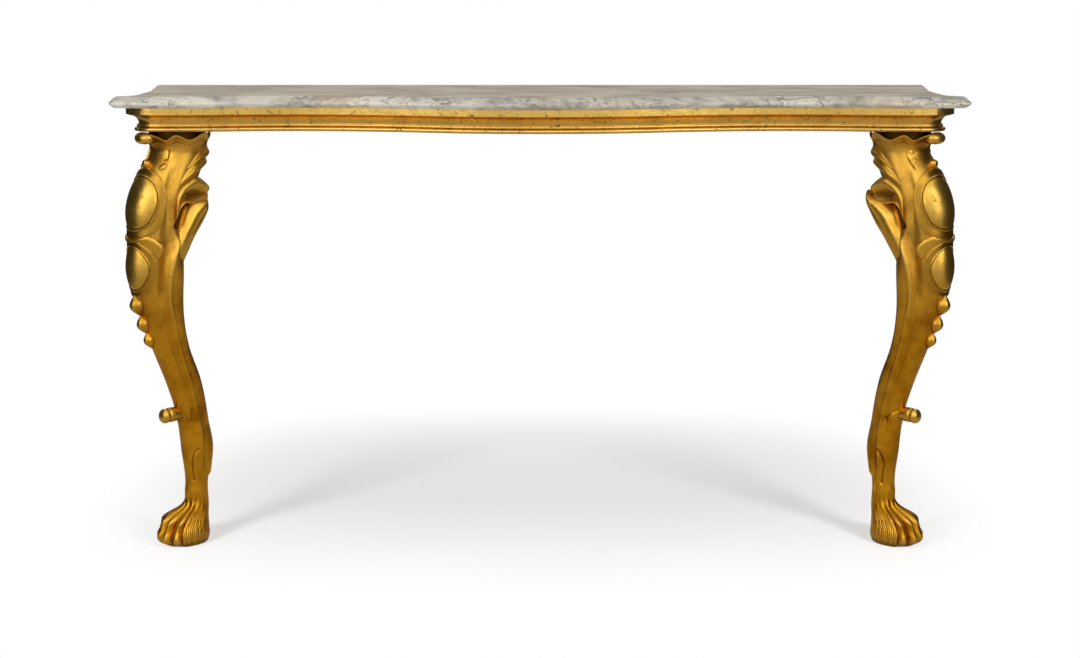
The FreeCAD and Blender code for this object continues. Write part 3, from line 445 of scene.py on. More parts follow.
veined_marble, tree, shader, place = finish_named("Polished_white_veined_marble")
bed = add(tree, "Mapping", {"Vector": place, "Rotation": BED_TURN,
                            "Scale": BED_STRETCH}).outputs["Vector"]
folds = add(tree, "TexNoise", {"Vector": bed, "Scale": MARBLE_WARP_PER_M, "Detail": 5.0,
                               "Roughness": 0.55}).outputs["Color"]
folded = bend(tree, bed, folds, 0.16)
drift = noise(tree, place, MARBLE_DRIFT_PER_M, 4.0)
stone = ramp(tree, noise(tree, folded, MARBLE_CLOUDS_PER_M, 8.0, 0.62),
             [(0.38, MARBLE_CLOUD), (0.47, MARBLE_MIST), (0.57, MARBLE_GROUND)])
for per_m, width, group, colour in VEINS:
    off = calc(tree, "SUBTRACT", noise(tree, folded, per_m, 4.0), 0.5)
    line = mask(tree, calc(tree, "ABSOLUTE", off), width, 0.0, 0.85)
    line = calc(tree, "MULTIPLY", line, mask(tree, drift, group, 0.53))
    stone = blend(tree, line, stone, colour)
stain = mask(tree, noise(tree, place, MARBLE_WARP_PER_M, 4.0), 0.52, 0.7, 0.3)
stone = blend(tree, stain, stone, MARBLE_STAIN)
skin = bump(tree, noise(tree, place, MARBLE_PITS_PER_M, 3.0), 0.12, 0.0004)
feed(tree, shader, {"Base Color": stone, "Roughness": 0.32, "IOR": 1.5,
                    "Specular IOR Level": 0.35, "Normal": skin})
print("marble:", len(tree.nodes), "nodes")

# %% [markdown]
# ## Bare wood and iron out of sight
# Behind the gilding the frame is sawn pine, oak pegs and black iron.  Nobody polishes what
# the wall hides, so the pine is dull, darkened by age and streaked along its grain, with
# growth lines about 4 mm apart.  The iron is blackened from the forge with brown rust.

# %% Pine, oak and iron
AGED = "#4A3520"
ALONG_GRAIN = 0.06             # wood changes this much more slowly along its grain
RING_CYCLES = 85.0             # growth lines to one wave of the board's own noise
FIBRE_PER_M = 900.0            # fibres and pores of about 1 mm
AGED_PER_M = 12.0              # darker patches about 80 mm wide
SCALE_PER_M = 160.0            # flakes of forge scale, about 6 mm


def old_wood(name, pale, deep, line_mm, axis, roughness):
    """Plain sawn timber with its grain along one axis of the table."""
    material, tree, shader, place = finish_named(name)
    stretch = [ALONG_GRAIN if n == axis else 1.0 for n in range(3)]
    grain = add(tree, "Mapping", {"Vector": place, "Scale": stretch}).outputs[0]
    board = add(tree, "TexNoise", {"Vector": grain, "Scale": 1000.0 / (line_mm * 6),
                                   "Detail": 3.0, "Distortion": 0.4}).outputs["Fac"]
    lines = calc(tree, "SINE", calc(tree, "MULTIPLY", board, RING_CYCLES))
    fibre = noise(tree, grain, FIBRE_PER_M, 4.0, 0.7)
    patches = noise(tree, place, AGED_PER_M, 5.0)
    body = ramp(tree, mask(tree, lines, -1.0, 1.0), [(0.0, pale), (0.7, pale), (1.0, deep)])
    body = blend(tree, mask(tree, fibre, 0.45, 0.75, 0.5), body, deep)
    body = blend(tree, mask(tree, patches, 0.5, 0.75, 0.4), body, AGED)
    feed(tree, shader, {"Base Color": body, "Roughness": roughness,
                        "Normal": bump(tree, fibre, 0.4, 0.0005)})
    return material


pine_across = old_wood("Sawn_pine_grain_left_to_right", "#A98A5C", "#8E6D45", 4.0, 0, 0.75)
pine_back = old_wood("Sawn_pine_grain_front_to_back", "#A98A5C", "#8E6D45", 4.0, 1, 0.75)
peg_oak = old_wood("Split_oak_peg", "#8C6A42", "#5E4327", 2.5, 2, 0.65)

old_iron, tree, shader, place = finish_named("Forged_black_iron_with_rust")
scale = noise(tree, place, SCALE_PER_M, 6.0, 0.7)
rust = ramp(tree, scale, [(0.35, "#3B3836"), (0.55, "#4A4542"), (0.68, "#6B4328")])
feed(tree, shader, {"Base Color": rust, "Metallic": 0.85,
                    "Roughness": mask(tree, scale, 0.2, 0.7, 0.75),
                    "Normal": bump(tree, scale, 0.5, 0.0006)})
print("woods and iron ready")

# %% [markdown]
# ## Cuts, ribs and steps
# A carver works with a few strokes: a long gouge cut, a rib left standing between two cuts,
# a short incised line.  Each is a line drawn on the leg with a depth and a width, and each
# helper gives the height that it adds at every point of the surface.

# %% Strokes of the gouge
def traced_turn(line, height):
    """Degrees round the leg of a line that runs up it, given as (turn, height) points."""
    return read_line(height, sorted((high, turned) for turned, high in line))


def long_cut(turn, height, line, depth, width, ends):
    """A gouge cut, or with a negative depth a rib, along a line that runs up the leg."""
    heights = [p[1] for p in line]
    foot, top = min(heights), max(heights)
    gap = (np.abs(turn) - traced_turn(line, height)) * girth(height)
    fade = between(height, foot - ends, foot + ends, top - ends, top + ends)
    return -depth * fade * hump(gap, 0, width)


def short_cut(turn, height, line, depth, width):
    """An incised stroke along any drawn line, with its ends kept."""
    run = turn * girth(height)
    points = np.array(line, float)
    points[:, 0] *= girth(points[:, 1])
    nearest = np.full(len(run), 1e9)
    for (ax, az), (bx, bz) in zip(points[:-1], points[1:]):
        dx, dz = bx - ax, bz - az
        t = np.clip(((run - ax) * dx + (height - az) * dz) / (dx * dx + dz * dz), 0, 1)
        nearest = np.minimum(nearest, np.hypot(run - ax - t * dx, height - az - t * dz))
    return -depth * hump(nearest, 0, width)


print("one degree of turn at the knee is", round(float(girth(690.0)), 2), "mm of wood")

# %% [markdown]
# ## The drawing on the leg
# These lines are the carver's pencil marks, each a row of places in degrees round from the
# ridge and millimetres of height.  The rib and its two flutes run the whole shin; the small
# strokes differ from leg to leg, because they were cut by eye.

# %% Pencil lines and how deep each is cut
RIB = [(111, 623), (104, 604), (98, 586), (94, 567), (91, 547), (89, 527), (88, 497), (91, 466),
       (92, 435), (92, 403), (90, 371), (88, 339), (86, 307), (87, 275), (89, 243), (88, 211),
       (84, 180), (82, 148)]
FORE_FLUTE = [(92, 635), (88, 616), (85, 587), (83, 548), (82, 508), (81, 477), (79, 446),
              (77, 414), (78, 383), (77, 340), (75, 308), (76, 275), (77, 245)]
BACK_FLUTE = [(126, 611), (119, 593), (112, 574), (106, 535), (103, 505), (105, 475), (109, 443),
              (111, 411), (109, 386), (105, 350), (101, 316), (102, 283), (105, 240), (102, 209),
              (101, 177), (101, 152)]
KNEE_VALLEY = [(62, 772), (68, 737), (73, 703), (81, 680), (83, 655), (81, 626), (80, 587),
               (76, 548), (72, 508)]
# line, depth in mm (a rib stands out, so its depth is negative), half width, fade at its ends
LONG_CUTS = [(RIB, -3.6, 4.2, 16.0), (RIB[:8], -4.0, 10.0, 34.0), (BACK_FLUTE, 0.9, 7.0, 10.0),
             (FORE_FLUTE, 3.8, 8.5, 20.0), (KNEE_VALLEY, 5.2, 11.0, 26.0)]
# depth, half width, line: a nick on the shin and the slit behind the knee are on both legs
BOTH_CUTS = [(1.0, 1.8, [(70, 489), (69, 475), (68, 461)]),
             (7.0, 3.2, [(124, 692), (117, 676), (110, 662), (106, 652)])]
# on the left leg a stroke on the ankle and the curl and tail of the scroll; on the right leg
# two facets and a cut on the ankle and heel, a curl, and a stroke on the neck
OWN_CUTS = {
    "left": [(2.2, 1.7, [(74, 192), (62, 189), (53, 181), (45, 171), (41, 149), (47, 128)]),
             (1.0, 1.8, [(24, 268), (34, 272), (42, 266), (40, 257), (30, 255), (27, 262),
                         (33, 264)]),
             (0.9, 2.0, [(42, 262), (50, 252), (58, 250), (66, 262), (72, 280)])],
    "right": [(3.0, 2.4, [(87, 192), (66, 173), (59, 160), (64, 141), (71, 122)]),
              (2.6, 2.4, [(101, 175), (106, 135), (104, 100)]),
              (2.0, 2.0, [(123, 123), (126, 98)]),
              (1.6, 2.2, [(67, 252), (71, 259), (64, 265), (48, 272), (30, 277)]),
              (2.4, 2.0, [(47, 806), (48, 780), (45, 762)])]}
# height, and how proud the root of the stem leaf stands of the back of the flank
STEM_ROOT = [(300, 0.0), (350, 1.5), (400, 3.5), (450, 5.0), (490, 6.5), (520, 7.5), (547, 8.5),
             (575, 8.0), (605, 4.0), (640, 0.0), (680, 0.0)]
# height, and how proud the cords of the ankle stand
CORDS = [(60, 0.0), (74, 1.9), (84, 1.7), (98, 0.9), (122, 0.0)]
TOE_PITCH = 28.0               # degrees from one toe to the next


def tendons(turn, height):
    """Cords that run from the toes up into the ankle and die out on it."""
    cord = np.abs(np.sin(np.pi * turn / TOE_PITCH)) - 0.55
    around = 1 - soft_step(np.abs(turn), 62, 96)
    return cord * around * read_line(height, CORDS)


def post_relief(side, turn, height):
    """Everything that is carved straight into the post, as mm proud of its oval."""
    flank = np.abs(turn)
    up = tendons(turn, height)
    for line, depth, width, ends in LONG_CUTS:
        up += long_cut(turn, height, line, depth, width, ends)
    for depth, width, line in BOTH_CUTS + OWN_CUTS[side]:
        up += short_cut(flank, height, line, depth, width)
    up += read_line(height, STEM_ROOT) * between(flank, 88, 112, 118, 150)
    scroll_seat = ((flank - 30) * girth(height) / 14) ** 2 + ((height - 262) / 13) ** 2
    up += 2.2 * np.exp(-scroll_seat)
    heel = soft_step(flank, 95, 130) * (1 - soft_step(height, 190, 250))
    return up + 4.5 * heel * soft_step(height, 128, 139)


print("rib runs over", len(RIB), "points from knee to ankle")

# %% [markdown]
# ## The leg post
# The post is one piece of wood from the paw to the frame.  A tube of grid faces follows its
# oval sections, finer from the knee up where the small carving is, and the strokes are added
# as height.  Its round tenon, which the corner block hides, is a plain turned pin.

# %% Carve both posts
POST_COLUMNS, POST_ROWS = 216, 400
POST_FOOT = 62.0               # the post starts inside the paw
FINE_FROM, FINE_SHARE = 560.0, 0.47     # from the knee up the rows are closer together
PIN_OUT, PIN_ROUND, PIN_LONG = 22.0, 20.0, 22.0     # over the middle of the neck
# in mm out along the diagonal and up: the gap between the leaves behind the knee
SLIT_TOP, SLIT_FOOT = np.array((42.0, 690.0)), np.array((63.0, 650.0))


def post_height(along):
    """Rows by the share of the length."""
    low = POST_FOOT + (FINE_FROM - POST_FOOT) * along / (1 - FINE_SHARE)
    high = FINE_FROM + (LEG_TOP - FINE_FROM) * (along - 1 + FINE_SHARE) / FINE_SHARE
    return np.where(along < 1 - FINE_SHARE, low, high)


def post_turn(across):
    """Degrees round the leg; the seam is at its back, and the flanks have more columns."""
    turn = 360.0 * (across - 0.5)
    return turn + 9.0 * np.sin(np.radians(2 * turn))


def carve_post(side):
    """The post with its strokes, and the pin on top of it."""
    def place(across, along):
        turn, height = post_turn(across), post_height(along)
        tuck = 2.0 * (1 - soft_step(height, POST_FOOT + 6, POST_FOOT + 14))
        return around_leg(side, turn, height, post_relief(side, turn, height) - tuck)
    shell = bent_shell(POST_COLUMNS, POST_ROWS, place)
    pin = bmesh.new()
    bmesh.ops.create_cone(pin, cap_ends=True, segments=48, radius1=PIN_ROUND * MM,
                          radius2=PIN_ROUND * MM, depth=PIN_LONG * MM)
    middle = on_table(side, PIN_OUT, 0.0, LEG_TOP + PIN_LONG / 2)
    bmesh.ops.translate(pin, verts=pin.verts, vec=middle.tolist())
    return set_up(joined([shell, pin]), "carved_post_" + side, "leg_post_" + side, matte_gold,
                  rounds=36, reach_mm=2.4)


def paint_slit_shade(side, piece, reach):
    """Paint shade into the gap between lobe and stem leaf: every point within reach counts as fully
    sunk and takes the darkest colour.
    """
    points = np.array([vert.co for vert in piece.data.vertices]) / MM
    away = points[:, 0] * SIDES[side] - LEG_OUT
    out = DIAGONAL * (away - points[:, 1] + LEG_BACK)
    here, run = np.stack([out, points[:, 2]], axis=-1) - SLIT_TOP, SLIT_FOOT - SLIT_TOP
    share = np.clip(here @ run / (run @ run), 0, 1)
    aside = np.hypot(*(here - share[:, None] * run).T)
    values = piece.data.attributes["relief"].data
    relief = np.zeros(len(points), np.float32)
    values.foreach_get("value", relief)
    relief[aside < reach] = -1.0
    values.foreach_set("value", relief)


posts = {side: carve_post(side) for side in SIDES}
# painted shade in the slit behind each knee
for side in SIDES:
    paint_slit_shade(side, posts[side], 6.0)
print("post faces:", {side: len(p.data.polygons) for side, p in posts.items()})

# %% [markdown]
# ## Cabochons and their frames
# On the knee sit two oval bosses, each a polished dome in a broad flat frame with a fine
# bead between them.  An oval boss is a stack of rings from its crown out over its frame and
# back under, so a grid with rings for rows makes it.  The rings are not true ovals: they
# follow two outlines drawn round the middle, one for the dome and one for the frame.

# %% Rings of a boss
# place of each ring (0 crown, 1 edge of the dome, 2 edge of the frame, 3 middle of the back)
# and how proud of the post it stands, in mm
BOSS_RINGS = [(0.0, 8.6), (0.12, 8.5), (0.25, 8.2), (0.38, 7.8), (0.5, 7.2), (0.62, 6.4),
              (0.72, 5.5), (0.8, 4.7), (0.87, 3.9), (0.93, 3.0), (0.97, 2.1), (1.0, 1.6),
              (1.04, 1.7), (1.08, 3.0), (1.13, 3.7), (1.18, 3.4), (1.23, 2.7), (1.3, 2.7),
              (1.42, 2.9), (1.55, 3.1), (1.68, 3.3), (1.8, 3.4), (1.88, 3.4), (1.94, 3.1),
              (1.98, 2.2), (2.0, 0.6), (2.0, -1.2), (2.0, -3.0), (2.5, -3.5), (3.0, -3.5)]
BOSS_BED = 1.6                 # the dome's edge stands this proud of the post
# rows of the flat band around a dome, set a little sunk so that the band is coloured darker
BAND_FROM, BAND_TO, BAND_RELIEF = 0.56, 0.76, -0.26


def outline_reach(points, angle):
    """Distance from the middle to a drawn half outline, mirrored, smoothed over the angle."""
    half = [(math.atan2(z, run), math.hypot(run, z)) for run, z in points]
    both = sorted((a % (2 * math.pi), r) for a, r in half + [(math.pi - a, r) for a, r in half])
    angles, reach = np.array(both).T
    steps = np.linspace(0, 2 * np.pi, 144, endpoint=False)
    even = np.interp(steps, angles, reach, period=2 * np.pi)
    for _ in range(14):
        even = (np.roll(even, 1) + 2 * even + np.roll(even, -1)) / 4
    return np.interp(angle % (2 * np.pi), steps, even, period=2 * np.pi)


def paint_rows(piece, low, high, proud):
    """Set the relief of the rows between two shares of the length, which paints them paler when
    proud and darker when sunk.
    """
    along = piece.data.attributes["along"].data
    relief = piece.data.attributes["relief"].data
    for here, height in zip(along, relief):
        if low < here.value < high:
            height.value = proud


def carve_boss(side, name, middle, dome, rim, crown):
    """dome and rim are half outlines in (degrees, height), middle is the height of the crown."""
    pull = float(girth(middle))
    drawn = [[(turn * pull, height - middle) for turn, height in line] for line in (dome, rim)]
    rings, heights = np.array(BOSS_RINGS).T

    def place(across, along):
        angle, row = 2 * np.pi * across, along * (len(rings) - 1)
        ring = np.interp(row, np.arange(len(rings)), rings)
        proud = np.interp(row, np.arange(len(rings)), heights)
        proud = np.where(ring < 1, BOSS_BED + (proud - BOSS_BED) * crown, proud)
        inner, outer = (outline_reach(line, angle) for line in drawn)
        reach = np.where(ring < 1, inner * ring, inner + (outer - inner) * (ring - 1))
        reach = np.where(ring > 2, outer * (3 - ring), reach)
        return around_leg(side, reach * np.cos(angle) / pull, middle + reach * np.sin(angle),
                          proud)
    boss = set_up(bent_shell(144, len(rings) - 1, place), "carved_" + name + "_" + side,
                  name + "_" + side, burnished_gold, rounds=6, reach_mm=0.5)
    paint_rows(boss, BAND_FROM, BAND_TO, BAND_RELIEF)
    return boss


print("each boss has", len(BOSS_RINGS), "rings")

# %% [markdown]
# ## The two bosses of a knee
# The upper boss is the larger one.  Its outline is flatter at the foot, where the garter
# presses against it, and the lower one is nearly round.  Their crowns stand up to 8 mm
# proud, so that they catch the light from the window like two polished stones.

# %% Outlines of the bosses
UPPER_DOME = [(0, 746), (14, 745), (27, 740), (42, 728), (53, 709), (56, 692), (51, 673),
              (41, 657), (29, 651), (14, 648), (0, 647)]
UPPER_RIM = [(0, 763), (14, 761), (40, 750), (58, 731), (69, 714), (76, 681), (71, 654),
             (54, 637), (25, 631), (0, 629)]
LOWER_DOME = [(0, 612), (18, 608), (32, 598), (43, 585), (48, 571), (46, 559), (37, 545),
              (27, 534), (12, 529), (0, 528)]
LOWER_RIM = [(0, 627), (10, 625), (30, 619), (48, 606), (60, 588), (62, 570), (60, 550),
             (56, 536), (41, 522), (16, 515), (0, 512)]
bosses = []
for side in SIDES:
    bosses.append(carve_boss(side, "upper_cabochon", 696.0, UPPER_DOME, UPPER_RIM, 0.9))
    bosses.append(carve_boss(side, "lower_cabochon", 570.0, LOWER_DOME, LOWER_RIM, 0.8))
print("bosses:", [len(b.data.polygons) for b in bosses])

# %% [markdown]
# ## Leaves
# A carved leaf is a strip that starts in the wood and ends in a free tip.  Two drawn edges
# say where it runs, and a section says how it swells, where its rib stands and where its
# edge rolls over.  Leaves that lie on the leg are drawn in degrees and height; the big ones
# behind the knee stand free of it, so they are drawn flat, as the carver draws them on the
# side of the blank.  Every leaf is a closed shell: outer face, edge, inner face, edge.

# %% A leaf as a closed strip between two edges
def edge_line(points, along):
    """A smooth line through drawn points, by the share of its length."""
    points = np.array(points, float)
    steps = np.concatenate([[0], np.cumsum(np.hypot(*np.diff(points, axis=0).T))])
    steps /= steps[-1]
    return smooth_line(along, steps, points[:, 0]), smooth_line(along, steps, points[:, 1])


def strip_section(across):
    """(share from the fore edge to the back edge, 1 on the outer face to -1 on the inner)."""
    stops = np.array([0.0, 0.42, 0.5, 0.92, 1.0])
    share = np.interp(across, stops, [0.0, 1.0, 1.0, 0.0, 0.0])
    outer = np.interp(across, stops, [1.0, 1.0, -1.0, -1.0, 1.0])
    return share, outer


def strip_leaf(columns, rows, fore, back, section, carry, blunt=(0.03, 0.03)):
    """section(share, along) gives the heights of the outer and the inner face, share 0 on
    the fore edge and along 0 at the tip; carry makes them a place.  Both ends are rounded
    over the blunt shares of the length."""
    def place(across, along):
        share, outer = strip_section(across)
        near = np.clip(1 - along / blunt[0], 0, 1) + np.clip(1 - (1 - along) / blunt[1], 0, 1)
        full = np.sqrt(np.clip(1 - near**2, 0, 1))
        share = 0.5 + (share - 0.5) * full
        first, second = edge_line(fore, along), edge_line(back, along)
        a = first[0] + (second[0] - first[0]) * share
        b = first[1] + (second[1] - first[1]) * share
        face, inner = section(share, along)
        return carry(a, b, (face + inner) / 2 + (face - inner) / 2 * outer * full)
    return bent_shell(columns, rows, place)


def bumps(share, *humps):
    """A section made of (middle, width, height) humps; a negative height is a hollow."""
    total = np.zeros(len(share))
    for middle, width, height in humps:
        total += height * hump(share, middle, width)
    return total


def rolled(share, fall):
    """Both edges of a leaf roll down by fall."""
    return -fall * np.abs(2 * share - 1) ** 7


def lying(side, way):
    """Carry a strip that lies on the leg; way is +1 or -1, for its two flanks."""
    def carry(turn, height, proud):
        return around_leg(side, way * turn, height, proud)
    return carry


def standing(side, way):
    """Carry a strip that stands beside the leg, with its face across the diagonal."""
    def carry(out, height, across):
        return on_table(side, out, way * across, height)
    return carry


print("leaf strips ready")

# %% [markdown]
# ## The garter between the cabochons
# A pair of tongues leaves the ridge under the upper frame, passes over the lower one and
# ends in round tips on the flanks.  They are one strip from tip to tip.

# %% Tongues of the garter
GARTER_TOP = [(77, 600), (78, 608), (75, 616), (66, 624), (54, 631), (42, 635), (28, 632),
              (12, 629), (0, 628)]
GARTER_LOW = [(75, 592), (70, 590), (65, 590), (58, 600), (50, 609), (42, 615), (28, 620),
              (12, 622), (0, 622)]


def garter_section(share, along):
    """A tongue 6 mm thick that thins to nothing at its two tips."""
    middle = 1 - np.abs(2 * along - 1)
    face = 5.6 * soft_step(middle, 0.0, 0.16) + rolled(share, 3.4)
    return face + bumps(share, (0.35, 0.3, 1.0)), -3.0


def both_ways(line):
    """A line drawn from a flank to the ridge, carried on to the other flank."""
    return line + [(-turn, height) for turn, height in line[-2::-1]]


for side in SIDES:
    strip = strip_leaf(44, 150, both_ways(GARTER_TOP), both_ways(GARTER_LOW), garter_section,
                       lying(side, 1))
    set_up(strip, "carved_garter_" + side, "garter_leaf_" + side, burnished_gold, rounds=6,
           reach_mm=0.5)
print("garter tongues on both legs")

# %% [markdown]
# ## Leaves behind the knee
# On each flank a long stem leaf grows out of the post, flares back and ends in a point.
# Over it curls a cupped lobe with a thick rolled rim, and between that lobe and the capital
# two smaller lobes overlap like tiles.  The two flanks do not meet: there is a gap of 28 mm
# between them at the back, as wide as the chisel that cleared it.

# %% Drawn edges and sections of the leaves
FLANK_IN = 14.0                # inner face of the leaves, from the middle plane of the leg
# in mm out along the diagonal and up, from the tip; the stem leaf of the right leg has a
# sharper tip than that of the left
STEM_FORE = [(-15, 703), (4, 697), (24, 690), (38, 678), (48, 661), (63, 638), (78, 606),
             (86, 572), (90, 535), (91, 500), (89, 465), (84, 435)]
STEM_BACK = [(-16, 694), (-15, 681), (-8, 664), (4, 646), (18, 627), (31, 605), (43, 578),
             (51, 548), (57, 515), (59, 488), (60, 460), (61, 430)]
STEMS = {"left": (STEM_FORE, STEM_BACK),
         "right": ([(-29, 717), (-12, 702), (21, 690)] + STEM_FORE[3:],
                   [(-31, 708), (-28, 694), (-18, 672), (-3, 648), (16, 624), (31, 600),
                    (43, 574)] + STEM_BACK[7:])}
LOBE_RIM = [(68, 655), (69, 676), (67, 697), (62, 713), (53, 727), (37, 740), (20, 748),
            (3, 740), (-9, 731), (-20, 719)]
LOBE_LIP = [(64, 656), (59, 673), (52, 685), (44, 691), (35, 692), (24, 690), (13, 689),
            (2, 691), (-9, 694), (-20, 702)]
# the two tiles under the capital, upper and lower edge in degrees and height, tip first
TILES = [([(157, 795), (151, 802), (138, 805), (124, 803), (110, 797), (99, 787), (91, 774),
           (86, 760)],
          [(155, 781), (148, 776), (138, 774), (124, 774), (108, 771), (98, 764), (90, 756),
           (85, 748)]),
         ([(151, 776), (144, 782), (132, 783), (118, 780), (106, 775), (97, 766), (90, 755),
           (84, 742)],
          [(150, 764), (142, 758), (134, 755), (122, 749), (106, 742), (96, 734), (89, 726),
           (83, 718)])]


def near_edge(share, width):
    """1 on the fore edge, falling to 0 over this share of the width."""
    return np.clip(1 - share / width, 0, 1) ** 2


def stem_section(share, along):
    """A rounded face with a fine rim near the tip, which sinks into the post at its foot."""
    rim = 1 - soft_step(along, 0.18, 0.37)
    face = 46.0 + bumps(share, (0.48, 0.36, 7.0)) + rolled(share, 5.0)
    face += rim * bumps(share, (0.8, 0.06, -1.2), (0.9, 0.08, 0.8))
    face -= 14.0 * soft_step(along, 0.33, 0.74) + 15.0 * soft_step(along, 0.6, 1.0)
    face -= 14.0 * soft_step(along, 0.37, 0.78) * share**2
    face -= 13.0 * near_edge(share, 0.42) * soft_step(along, 0.09, 0.22)
    face -= 5.0 * (1 - soft_step(along, 0.0, 0.09))
    inner = FLANK_IN + 2.0 * np.abs(2 * share - 1) ** 6
    return np.maximum(face, inner + 3.0), inner


def lobe_section(share, along):
    """A thick rolled rim, a hollow cup behind it and a fine lip."""
    cup = np.sin(np.pi * np.clip(along, 0, 1)) ** 0.6
    face = 49.5 + bumps(share, (0.26, 0.27, 8.5))
    face += cup * bumps(share, (0.66, 0.18, -5.5), (0.92, 0.1, 3.0))
    face -= 9.0 * near_edge(share, 0.26) + 3.0 * np.clip(share / 0.1 - 9, 0, 1) ** 2
    face -= 9.0 * (1 - soft_step(along, 0.0, 0.12))
    face -= 3.0 * soft_step(along, 0.3, 0.8) + 4.0 * soft_step(along, 0.86, 1.0)
    return face, FLANK_IN + 3.0 * np.abs(2 * share - 1) ** 6


def tile_section(share, along):
    """A leaf that swells to 8 mm and dies away into the neck."""
    face = bumps(share, (0.62, 0.34, 7.5), (0.12, 0.14, 1.2)) + rolled(share, 2.0)
    face = face * (1 - soft_step(along, 0.6, 1.0)) - 0.6 - 1.5 * soft_step(along, 0.8, 1.0)
    return face, -4.0


print("drawn leaves:", 2 + len(TILES), "on each flank")

# %% [markdown]
# ## Small things on the neck, and all leaves together
# Each cheek of the neck has its own small ornament: a framed panel with a drop under it on
# the left leg, two drops on the right one.  The leaves of a leg were carved from one glued-on
# block, so they are one piece of the table, like their solid.

# %% Carve the foliage
PANEL_FORE, PANEL_BACK = [(28, 799), (29.5, 787), (33, 775)], [(41, 799), (42, 787), (44, 775)]
# degrees, height, half size and mm proud of the drops
DROPS = {"left": [(39.0, 765.5, 7.2, 5.0)],
         "right": [(37.0, 792.0, 5.4, 2.2), (36.0, 778.0, 4.2, 1.8)]}


def button(side, way, turn, height, size, proud):
    """A small raised drop on the leg."""
    pull = float(girth(height))

    def place(across, along):
        ring = np.minimum(2 * along, 2 - 2 * along)
        lift = np.where(along < 0.5, proud * np.sqrt(np.clip(1 - ring**2, 0, 1)) - 0.6, -2.0)
        run, rise = (size * ring * wave(2 * np.pi * across) for wave in (np.cos, np.sin))
        return lying(side, way)(turn + run / pull, height + rise, lift)
    return bent_shell(32, 20, place)


def panel_section(share, along):
    """A flat frame 3 mm proud around a sunk field."""
    edge = np.minimum(np.minimum(share, 1 - share) * 12, np.minimum(along, 1 - along) * 22)
    return 3.4 * soft_step(edge, 0.0, 1.0) - 1.6 * soft_step(edge, 1.6, 3.0) - 0.4, -2.0


def knee_foliage(side):
    """All leaves of one leg, on both its flanks."""
    shells = []
    for way in (1, -1):
        flat, free = lying(side, way), standing(side, way)
        shells.append(strip_leaf(72, 96, *STEMS[side], stem_section, free, (0.05, 0.03)))
        shells.append(strip_leaf(72, 96, LOBE_RIM, LOBE_LIP, lobe_section, free, (0.04, 0.13)))
        for top, low in TILES:
            shells.append(strip_leaf(60, 72, top, low, tile_section, flat, (0.12, 0.05)))
        if side == "left":
            shells.append(strip_leaf(40, 36, PANEL_FORE, PANEL_BACK, panel_section, flat))
        shells += [button(side, way, *drop) for drop in DROPS[side]]
    return set_up(joined(shells), "carved_foliage_" + side, "knee_leaves_" + side,
                  burnished_gold, crease=55.0, rounds=8, reach_mm=0.6)


foliage = {side: knee_foliage(side) for side in SIDES}
# painted shade in the slit between the leaves
for side in SIDES:
    paint_slit_shade(side, foliage[side], 4.0)
print("foliage faces:", {side: len(f.data.polygons) for side, f in foliage.items()})

# %% [markdown]
# ## The capital
# Just under the frame the neck flares into a thin collar whose rim waves up and down, with
# a deep groove behind it that is painted dark as shade, and a lip painted pale as a highlight.
# At the corner of the table the collar rolls over into one fat lobe.  The collar is a ring, so
# it is a grid that closes both ways; the wave is in the height of its rim.  The lobe is a
# barrel across the ridge.

# %% Collar and rolled lobe
# degrees round from the ridge and height of the rim, on one half; the other mirrors it
HALF_WAVE = [(0, 819), (17, 824), (37, 814), (53, 823), (77, 814), (107, 826), (135, 816),
             (158, 824), (180, 817)]
RIM_WAVE = [(-turn, height) for turn, height in HALF_WAVE[:0:-1]] + HALF_WAVE
# proud of the neck, and how far up from the foot of the collar (0) to its rim (1)
COLLAR_SECTION = [(-2.5, 0.0), (-1.2, 0.0), (-0.5, 0.12), (0.1, 0.24), (0.75, 0.38), (1.8, 0.54),
                  (3.4, 0.7), (6.2, 0.83), (9.2, 0.93), (11.4, 1.0), (11.6, 1.05), (10.2, 1.04),
                  (8.0, 0.94), (5.4, 0.82), (3.0, 0.74), (1.4, 0.8)]
COLLAR_FOOT = 784.0
RIM_FROM, GROOVE_FROM = 0.56, 0.66      # share of the rows where lip and groove begin
ROLL_OUT, ROLL_UP, ROLL_ROUND, ROLL_HALF = 100.0, 818.6, 11.4, 22.0


def collar(side):
    """A ring of the section above; three more rows close it inside the neck."""
    profile, rises = np.array(COLLAR_SECTION).T
    rows = np.arange(len(profile))

    def place(across, along):
        turn, row = 360.0 * (across - 0.5), along * (len(profile) + 2)
        rim = read_line(turn, RIM_WAVE)
        proud = np.interp(row, rows, profile)
        height = COLLAR_FOOT + (rim - COLLAR_FOOT) * np.interp(row, rows, rises)
        inside, back, down = (np.clip(row - len(profile) + 1 - n, 0, 1) for n in range(3))
        height += (LEG_TOP - 0.4 - height) * inside
        proud += (0.8 - proud) * inside
        proud += (-2.5 - proud) * back
        height += (COLLAR_FOOT - height) * down
        tongue = 1.9 * hump(turn, 0, 21.0) + 0.03 * (rim - 818.0)
        proud *= (1 + tongue * (proud > 0)) * np.where(np.abs(turn) > 120, 0.75, 1.0)
        return around_leg(side, turn, height, proud)
    return bent_shell(240, len(profile) * 3 + 6, place)


def rolled_lobe(side):
    """A fat barrel across the ridge; its rows count as neither lip nor groove."""
    def place(across, along):
        spin, reach = 2 * np.pi * across, 2 * along - 1
        round_off = np.sqrt(np.clip(1 - np.abs(reach) ** 3.2, 0, 1))
        size = ROLL_ROUND * round_off * (1 + 0.03 * np.cos(3 * spin))
        out = ROLL_OUT + 1.1 * size * np.cos(spin) - 5.0 * reach ** 2
        return on_table(side, out, ROLL_HALF * reach, ROLL_UP + size * np.sin(spin))
    bm = bent_shell(48, 40, place)
    layer = bm.verts.layers.float["along"]
    for vert in bm.verts:
        vert[layer] = 0.0
    return bm


